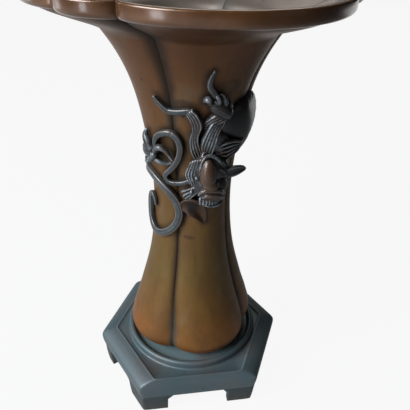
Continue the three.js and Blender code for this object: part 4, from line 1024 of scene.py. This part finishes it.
def lump(centre, radii, nod=0.0, taper=0.0):
    """A closed egg in the head's frame: side, up and out. Its upper end leans outwards by nod degrees,
    and its width grows towards the lower end by the share taper."""
    rise = np.sin(np.linspace(-np.pi / 2, np.pi / 2, 25)[1:-1])[:, None]
    ring = np.sqrt(1 - rise**2)
    turn = np.linspace(0, 2 * np.pi, 32, endpoint=False)[None]
    side = radii[0] * ring * np.cos(turn) * (1 - taper * rise)
    up = radii[1] * rise * np.ones_like(turn)
    out = -radii[2] * ring * np.sin(turn) * (1 - taper * rise)
    lean = np.radians(nod)
    up, out = up * np.cos(lean) - out * np.sin(lean), up * np.sin(lean) + out * np.cos(lean)
    local = np.stack([side, up, out], axis=-1) + centre
    return local @ HEAD_AXES, "capped"


def roll(route, steps=36, sides=14):
    """A rounded strand in the head's frame through rows of side, up, out and radius."""
    rows = curve_through(route, steps)
    middle = rows[:, :3] @ HEAD_AXES
    normal = np.broadcast_to(head_out, middle.shape) + 0.02 * HEAD_AXES[1]
    return sweep(middle, normal, rows[:, 3], rows[:, 3], sides), "capped"


skull = [
    lump((0.5, 198.5, 35.5), (12, 10.5, 8)),
    lump((1.5, 188, 36.6), (10.5, 11, 7.4), nod=-6),
    lump((2.5, 181, 37.6), (8.6, 6.2, 6.0)),
    lump((-2, 198, 42.2), (5.1, 9.6, 5.0), taper=0.15),
    lump((-0.6, 190.4, 43.0), (5.2, 4.0, 4.0)),
]
hood = [
    roll([(-7.0, 196, 41.5, 0.7), (-6.6, 203, 42, 1.0), (-4.6, 207.6, 41.6, 1.2),
          (-1.6, 209.2, 41.2, 1.3), (2.4, 207.9, 41.2, 1.3), (6.6, 203.4, 41, 1.3),
          (9.6, 197.2, 39.6, 1.0), (10.8, 191.5, 37.5, 0.7)]),
    roll([(4.4, 200.5, 42, 1.0), (7.4, 198.8, 41.4, 1.3), (10, 194.5, 39.4, 1.1),
          (10.8, 190.5, 37.4, 0.7)]),
    roll([(-5.5, 207, 40, 1.4), (-3.5, 210, 38.4, 1.6), (0, 211.5, 36, 1.1)]),
    roll([(1.5, 207.5, 40, 1.5), (4.5, 209.5, 38, 1.6), (7.5, 209.5, 35.6, 1.0)]),
]
eyes = [
    lump((8.0, 195.2, 40.4), (1.9, 1.5, 1.4)),
    lump((-8.2, 194.6, 39.6), (1.5, 1.4, 1.3)),
]
lips = [
    roll([(-7.4, 183, 41, 0.9), (-6, 186.6, 43.6, 1.3), (-1.5, 187.6, 45, 1.45), (2.5, 186.9, 45, 1.45),
          (5.8, 185.8, 44, 1.35), (8.4, 182.4, 41, 1.1), (9.6, 178.6, 38.2, 0.8)]),
    roll([(-5.0, 180.6, 40.8, 1.0), (-2.6, 182.7, 42.6, 1.6), (1.5, 182.9, 43.4, 1.8),
          (5.5, 182, 42.8, 1.7), (8.2, 179, 40, 1.2), (9.4, 176, 38, 0.8)]),
    lump((-3.2, 189.2, 45.0), (1.3, 1.1, 1.1)),
    lump((2.0, 188.9, 45.2), (1.3, 1.1, 1.1)),
]
TEETH = [  # side and out
    (-6.0, 40.2), (-4.2, 41.4), (-2.4, 42.0), (-0.6, 42.3), (1.2, 42.3), (3.0, 42.0), (4.8, 41.4),
]
teeth = [
    roll([(side, 181, out, 0.9), (side - 0.1, 178.4, out + 0.3, 0.95), (side - 0.2, 175.4, out, 0.45)],
         12, 10)
    for side, out in TEETH
]


def curl(side, top, out, length, bow, sway, radius):
    """A waved lock that hangs beside the head: side = start + bow sin(pi share) + sway sin(3 pi share).
    It sinks towards the wall and thins on its way down."""
    share = np.linspace(0, 1, 15)
    swing = bow * np.sin(np.pi * share) + sway * np.sin(3 * np.pi * share)
    sinking = out - 2.2 * share**2
    route = np.column_stack([side + swing, top - length * share, sinking, radius * (1.05 - 0.5 * share)])
    return roll(route, 60, 12)


CURLS = [  # side, top, out, length, bow, sway and radius
    (-6.2, 207.5, 40.4, 19, -1.2, 0.4, 0.85), (-7.6, 207, 39.6, 20, -1.6, 0.4, 0.9),
    (-8.8, 206.5, 38.6, 20, -2.0, 0.4, 0.9), (-10, 205.5, 37.4, 19, -2.3, 0.4, 0.9),
    (-11, 204, 36, 17, -2.5, 0.4, 0.85), (9.6, 203.5, 38.8, 23, 1.0, 0.3, 0.9),
    (11, 202, 37.4, 22, 1.2, 0.3, 0.9), (12.2, 199.5, 35.8, 19, 1.2, 0.3, 0.85),
]
curls = [curl(*lock) for lock in CURLS]
TUFT_ENDS = [(-23, 176.4), (-20.5, 172.6), (-17, 170.6), (-12.6, 170.2)]  # azimuth and height
cheek_tuft = [  # hairs that fan out from the corner of the mouth to those ends
    limb([(-2, 184.5 - 4 * share, 4.2, 0.8, 1.3), (-8, 182 - 6 * share, 2.8, 0.9, 1.3),
          (azimuth * 0.6 - 5, height * 0.5 + 90.5 - 3 * share, 1.7, 0.8, 1.1),
          (azimuth, height, 0.7, 0.3, 0.4)], 50, 12)
    for share, (azimuth, height) in zip(np.linspace(0, 1, len(TUFT_ENDS)), TUFT_ENDS)
]
bead_boss = [
    limb([(-10.2, 180.4, 3.8, 1.4, 1.5), (-8.7, 180.1, 4.2, 1.7, 1.7), (-7, 179.8, 4.2, 1.4, 1.4)], 16, 16),
]
head_shells = skull + hood + eyes + lips + teeth + curls + cheek_tuft + bead_boss
head_cast = pour_casting("head_cast", head_shells, HEAD_GRAIN, "dragon_head")
castings.append(head_cast)


def head_polish(points):
    """How far dusting has rubbed the head, from 0 to 1: the egg of the bridge, inside the ellipse
    ((side + 2) / 5.4)^2 + ((up - 198) / 10)^2 = 1, and the band of the lips, within 5 mm of up = 184.5."""
    side, up, out = (points @ HEAD_AXES.T).T
    egg = ease(((side + 2) / 5.4) ** 2 + ((up - 198) / 10) ** 2, 1.15, 0.75) * ease(out, 41.5, 44)
    mouth = ease(np.abs(up - 184.5), 5.5, 4.5) * ease(out, 41.8, 43.4) * ease(np.abs(side), 9, 7)
    return np.maximum(egg, mouth * 0.8)


def head_shade(points):
    """How much painted shade the side turned from the window takes, from 0 to 1: the cheek and brow beyond
    4 to 7 mm to the right, less where the lips are rubbed."""
    side, up, out = (points @ HEAD_AXES.T).T
    return ease(side, 4, 7) * ease(np.abs(up - 192), 19, 14) * (1 - head_polish(points))


head_points = points_of(head_cast.data)
set_attribute(head_cast, "polished", head_polish(head_points))
# Painted shade on the side turned from the window, kept in the hollow attribute.
set_attribute(head_cast, "hollow", head_shade(head_points) * 0.8)

# Jaw and ears of the dragon
# The lower jaw is a second casting tucked under the lips. The ears are cupped leaves, one thrown out
# from the right cheek and one lying on the wall under the jaw, rubbed as brown as the wall.
jaw_shells = [
    lump((1.5, 176.8, 36.8), (7.6, 4.0, 5.4)),
    roll([(-5.8, 177.4, 38.6, 0.9), (-2.6, 175.2, 40.8, 1.1), (2, 174.4, 41.6, 1.2), (6.5, 175, 40.6, 1.1),
          (9, 177.2, 38.2, 0.9)]),
    roll([(-3.4, 175.6, 38.8, 1.1), (1.8, 173.9, 39.4, 1.2), (7, 175.4, 38.4, 1.0)]),
]
RIGHT_EAR = [
    (21, 192.5, 6.5, 4.2, 2.2), (27, 194.5, 9.6, 4.6, 2.4), (33, 195.6, 12, 3.9, 2.2),
    (38.5, 195.8, 13.2, 2.4, 1.7), (43, 194.7, 13.6, 0.7, 0.7),
]
LEFT_EAR = [
    (-27, 165.6, 1.2, 0.8, 1), (-20, 166.8, 2.2, 3.8, 2.2), (-11, 167.4, 3, 6.4, 2.8),
    (-2, 164.8, 3, 6.2, 2.8), (4.4, 159.2, 2.4, 3.6, 2.2), (8.6, 153.2, 1.4, 0.7, 0.9),
]
CUP_PLACE = (-7.0, 167.0)  # the cup of the left ear, darkened with painted shade: azimuth and height above the ground
CUP_RADIUS = 5.5
CUP_TURN = 0.55  # mm along the wall for each degree there
RIGHT_EAR_SHADE = 0.5
jaw = pour_casting("jaw_cast", jaw_shells, HEAD_GRAIN, "dragon_jaw")
right_leaf = limb(RIGHT_EAR, 90, 44, rims(0.75, 0.25, 0.4), 2.0)
right_ear = lay_casting("ear_right_leaf", [right_leaf], "dragon_ear_right")
left_leaf = limb(LEFT_EAR, 110, 56, rims(0.95, 0.3, 0.35), 4.4)
left_ear = lay_casting("ear_left_leaf", [left_leaf], "dragon_ear_left")
castings += [jaw, right_ear, left_ear]
# Painted shade over the whole right ear.
set_attribute(right_ear, "hollow", np.full(len(right_ear.data.vertices), RIGHT_EAR_SHADE))
ear_points = points_of(left_ear.data)
set_attribute(left_ear, "leaf", np.ones(len(ear_points)))
ear_azimuth = np.degrees(np.arctan2(ear_points[:, 0], -ear_points[:, 1]))
from_cup = np.hypot((ear_azimuth - CUP_PLACE[0]) * CUP_TURN, ear_points[:, 2] - CUP_PLACE[1])
# Painted shade in the cup of the left ear.
set_attribute(left_ear, "hollow", ease(from_cup, CUP_RADIUS, CUP_RADIUS * 0.5))

# Paws of the dragon
# The forepaw grips the wall above the head, and a hind paw at the left edge holds the whisker's loop.
# Each is cast in one with its jointed toes and hooked claws, the forepaw with a cuff of hair besides.
PAW_GRAIN = 0.36
FORE_TOES = [  # routes from the palm over the knuckle
    [(17, 236.5, 4.6, 2, 2.4), (20.5, 238.6, 4.8, 2.2, 2.6), (21, 241.6, 3.4, 1.6, 1.8),
     (18.6, 244, 1.8, 0.6, 0.9)],
    [(13.5, 238.6, 4, 2, 2.4), (16.6, 241.4, 4.4, 2.1, 2.5), (15.8, 244.6, 3, 1.5, 1.7),
     (13.4, 246.6, 1.4, 0.6, 0.8)],
    [(9.5, 240, 3.4, 2, 2.4), (11.5, 243.2, 4, 2, 2.4), (10, 246, 2.6, 1.4, 1.6),
     (7.4, 247, 1.2, 0.6, 0.8)],
    [(6, 241, 2.8, 2, 2.4), (3.6, 244.2, 3.4, 2, 2.4), (1.6, 243.2, 2.2, 1.4, 1.6),
     (1.6, 240.2, 1, 0.6, 0.8)],
]
FORE_PALM = [
    [(23, 233, 5.6, 4.6, 4), (17, 236.5, 4.6, 4.6, 4.2), (10, 240, 3.2, 4.4, 3.6),
     (4.5, 242, 2, 2.4, 2.4)],
]
CUFF_EDGES = [
    [(21, 238, 4.6, 1.2, 1.8), (15, 235.8, 4.4, 1.5, 2.2), (8.5, 233.2, 3.6, 1.5, 2),
     (1.6, 228.2, 2.4, 0.6, 0.9)],
    [(22.5, 233, 6, 1.2, 1.8), (16, 231, 5.4, 1.5, 2.2), (9, 228, 4.6, 1.4, 2),
     (3, 223.4, 3.4, 0.6, 0.9)],
]
HIND_LIMB = [
    [(-128, 198, 0.8, 6, 4), (-110, 198, 0.6, 5.6, 3.4), (-93, 196.5, 0.4, 5.4, 2.7),
     (-79, 199, 0.8, 5, 3.4), (-66, 202, 1.6, 4.6, 4), (-55, 203, 2.2, 3.6, 3.8)],
]
HIND_TOES = [
    [(-56, 204, 2.8, 2.6, 2.8), (-62, 208.6, 3.2, 2.9, 2.6), (-66, 212.8, 2.6, 2.3, 2),
     (-64.6, 217.4, 1.2, 0.6, 0.8)],
    [(-60, 203, 2.8, 2.4, 2.8), (-67, 205, 3, 2.5, 2.6), (-73, 202, 2.2, 1.9, 2),
     (-76, 196.6, 1, 0.6, 0.8)],
    [(-55, 201, 2.8, 2.2, 2.6), (-61, 197, 3, 2.2, 2.4), (-68, 195, 2.2, 1.6, 1.8),
     (-72, 192, 1, 0.6, 0.8)],
    [(-52, 204, 3, 2.2, 2.6), (-45, 208.4, 3.4, 2.2, 2.4), (-37.5, 206.6, 2.6, 1.6, 1.8),
     (-31.5, 199, 1.1, 0.6, 0.8)],
    [(-53, 200, 3, 2, 2.6), (-46, 198, 3.2, 1.9, 2.3), (-39, 197.4, 2.2, 1.4, 1.7),
     (-33, 198, 1, 0.6, 0.8)],
]
HIND_KNUCKLE = [
    [(-55, 203.5, 3.4, 2.4, 2.8), (-52, 202.2, 4, 2.8, 3), (-49, 201, 3.4, 2.2, 2.6)],
]


def limbs(routes, steps=48, sides=16):
    """Several strands along the wall."""
    return [limb(route, steps, sides) for route in routes]


forepaw_shells = limbs(FORE_PALM) + limbs(FORE_TOES) + bundle(CUFF_EDGES, 4, 50, 14)
hind_claw_shells = limbs(HIND_LIMB, 90, 24) + limbs(HIND_TOES) + limbs(HIND_KNUCKLE)
castings += [
    pour_casting("forepaw_cast", forepaw_shells, PAW_GRAIN, "dragon_forepaw"),
    pour_casting("hind_claw_cast", hind_claw_shells, PAW_GRAIN, "dragon_hind_claw"),
]

# Body of the dragon
# A thick body that leaves the head's crown, swells into the shoulder on the right-hand side and winds
# round the back of the vase, thinning as it goes. Its scales are chased in overlapping rows, and a lock of
# hair lies over the shoulder.
BODY_ROUTE = [
    (19, 221, 0.5, 9, 4.5), (25, 222, 0.5, 17, 6.4), (33, 222, 0.2, 21, 7.2), (46, 220.5, 0, 19.5, 7.2),
    (66, 220.6, -0.6, 18, 6.6), (86, 217.6, -0.6, 16, 6.3), (108, 211.6, -0.2, 13.2, 6.3),
    (135, 205, 0.2, 10.5, 6.4), (165, 200, 0.4, 9, 6.2), (195, 199, 0.4, 8, 6),
    (222, 198, 0.4, 6.5, 5.2), (246, 191, 0.6, 4.4, 3.8), (268, 184, 1, 2.8, 2.8),
]
NECK_ROUTE = [
    (7, 205, 1, 8, 6), (13, 209, 1, 9, 6.4), (21, 214, 1, 11, 6.4), (30, 219, 0.5, 12, 6),
]
SCALE_ROWS = 64
SCALES_AROUND = 20
SCALE_LIFT = 0.55  # mm from a scale's root to its free edge


def scales(turn, along):
    """Relief of overlapping scales. In scale units, a row's scales are shifted half a scale from the last
    row's; each rises from its root to a round free edge at 1 + 0.8 sqrt(1 - 4 x^2), and lies over the next
    row up to there. The relief fades out near the shoulder's front and under the body."""
    down, round_ = np.broadcast_arrays(along * SCALE_ROWS, turn / (2 * np.pi) * SCALES_AROUND)
    row = np.floor(down)
    over_x = (round_ + 0.5 * ((row - 1) % 2)) % 1 - 0.5
    under_x = (round_ + 0.5 * (row % 2)) % 1 - 0.5
    over_y = down - row + 1
    under_y = down - row
    edge = 1 + 0.8 * np.sqrt(np.maximum(1 - 4 * over_x**2, 0))
    over = over_y < edge
    shape_x = np.where(over, over_x, under_x)
    shape_y = np.where(over, over_y, under_y)
    height = shape_y / 1.8 * (1 - 0.5 * (2 * shape_x) ** 2)
    return SCALE_LIFT * height * ease(along, 0.1, 0.24)


def muscles(turn, along):
    """Relief of the body: scales, two soft swellings of the shoulder, and a row of low spines on top."""
    shoulder = 0.7 * np.exp(-(((along - 0.16) / 0.05) ** 2)) * np.cos(turn - 0.6) ** 2
    spine_turn = (turn + 1.15 + np.pi) % (2 * np.pi) - np.pi
    spine = 1.1 * np.exp(-((spine_turn / 0.16) ** 2)) * (0.45 + 0.55 * np.abs(np.sin(np.pi * along * 34)))
    return scales(turn, along) + shoulder + spine * ease(along, 0.34, 0.42) * ease(along, 0.98, 0.85)


HAIR_EDGES = [
    [(15.5, 214, 6.6, 0.9, 1.3), (22, 215.8, 7.5, 1.5, 1.7), (29, 215.8, 7.8, 1.5, 1.7),
     (36, 214.6, 7.9, 1.3, 1.5), (44, 214.2, 7.2, 0.5, 0.7)],
    [(17, 205.5, 6.0, 0.9, 1.3), (24, 203.6, 6.6, 1.4, 1.7), (31, 206.4, 7.2, 1.4, 1.7),
     (36.5, 208, 7.2, 1.2, 1.5), (43, 209.6, 6.8, 0.5, 0.7)],
]
HAIR_POLISH = 0.25
body_shells = [limb(BODY_ROUTE, 620, 150, muscles), limb(NECK_ROUTE, 90, 60)]
body_cast = lay_casting("body_scaled", body_shells, "dragon_body")
shoulder_hair = pour_casting("shoulder_hair", bundle(HAIR_EDGES, 5, 50, 14), MANE_GRAIN)
set_attribute(shoulder_hair, "polished", np.full(len(shoulder_hair.data.vertices), HAIR_POLISH))
castings += [body_cast, shoulder_hair]

# Pins of the relief
# Short pins riveted from inside the mouth that hold the heavier castings. Only their domed heads show,
# deep in the neck, and they are dark brown.
pin_finish = Finish("pin_bronze", {"Metallic": 0.6})
pin_grain = pin_finish.noise(2, 4)
pin_colour = pin_finish.mix(pin_grain.step(0.35, 0.7), paint(70, 54, 40), paint(40, 33, 28))
pin_finish.feed("Base Color", pin_colour)
pin_finish.feed("Roughness", 0.4 + pin_grain * 0.2)
pin_finish.bump([(pin_grain, 0.05)])
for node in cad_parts:
    if node.startswith("relief_pin_"):
        refinish(node, pin_finish)

# Dark patina and painted shade round the castings
# Where the relief is soldered on, flux and wax darken the wall beside it, less with the distance to the
# nearest casting, and the same darkening paints the shade that the relief throws there. Broader patches
# of painted shadow lie between the castings and in one groove. Both are kept on the vase body's points.
STAIN_REACH = 6.0  # mm
STAIN_SAMPLE = 11  # every so many points of a casting are measured
STAIN_BLOCKS = 200  # the wall's points are measured in so many blocks, which saves memory
# Patches of painted shadow between the castings and in one groove.
STAINS_AND_SHADOWS = [  # azimuth, height above the foot, half width and half height in mm, strength
    (-12.4, 102.8, 5.0, 2.0, 0.75), (-16, 202, 7.5, 2.6, 0.8), (-2, 190, 3.5, 9, 0.8), (6, 150, 9, 5, 0.6),
    (21, 212, 10, 6, 0.6), (-11, 137, 5, 6, 0.6), (-21, 115, 2.6, 5, 0.7), (-30, 210, 1.6, 30, 0.7),
]
casting_points = np.vstack([points_of(piece.data)[::STAIN_SAMPLE] for piece in castings])
wall_points = points_of(vase_body.data)[:outer_count]
near_relief = (wall_points[:, 2] > casting_points[:, 2].min() - STAIN_REACH) & (
    wall_points[:, 2] < casting_points[:, 2].max() + STAIN_REACH)
stain_and_shade_depth = np.zeros(len(vase_body.data.vertices))
distances = np.concatenate([
    np.sqrt(np.min(np.sum((block[:, None] - casting_points) ** 2, axis=-1), axis=1))
    for block in np.array_split(wall_points[near_relief], STAIN_BLOCKS)
])
stain_and_shade_depth[:outer_count][near_relief] = 1 - np.clip(distances / STAIN_REACH, 0, 1)
for azimuth, level, half_wide, half_high, strength in STAINS_AND_SHADOWS:
    wide = np.radians(AZIMUTHS - azimuth) * crest_and_groove(level)[0] / half_wide
    patch = ease(np.hypot(wide, (skin_levels - level) / half_high), 1.5, 0.5).ravel()[:outer_count]
    stain_and_shade_depth[:outer_count] = np.maximum(stain_and_shade_depth[:outer_count], patch * strength)
set_attribute(vase_body, "stain", stain_and_shade_depth)
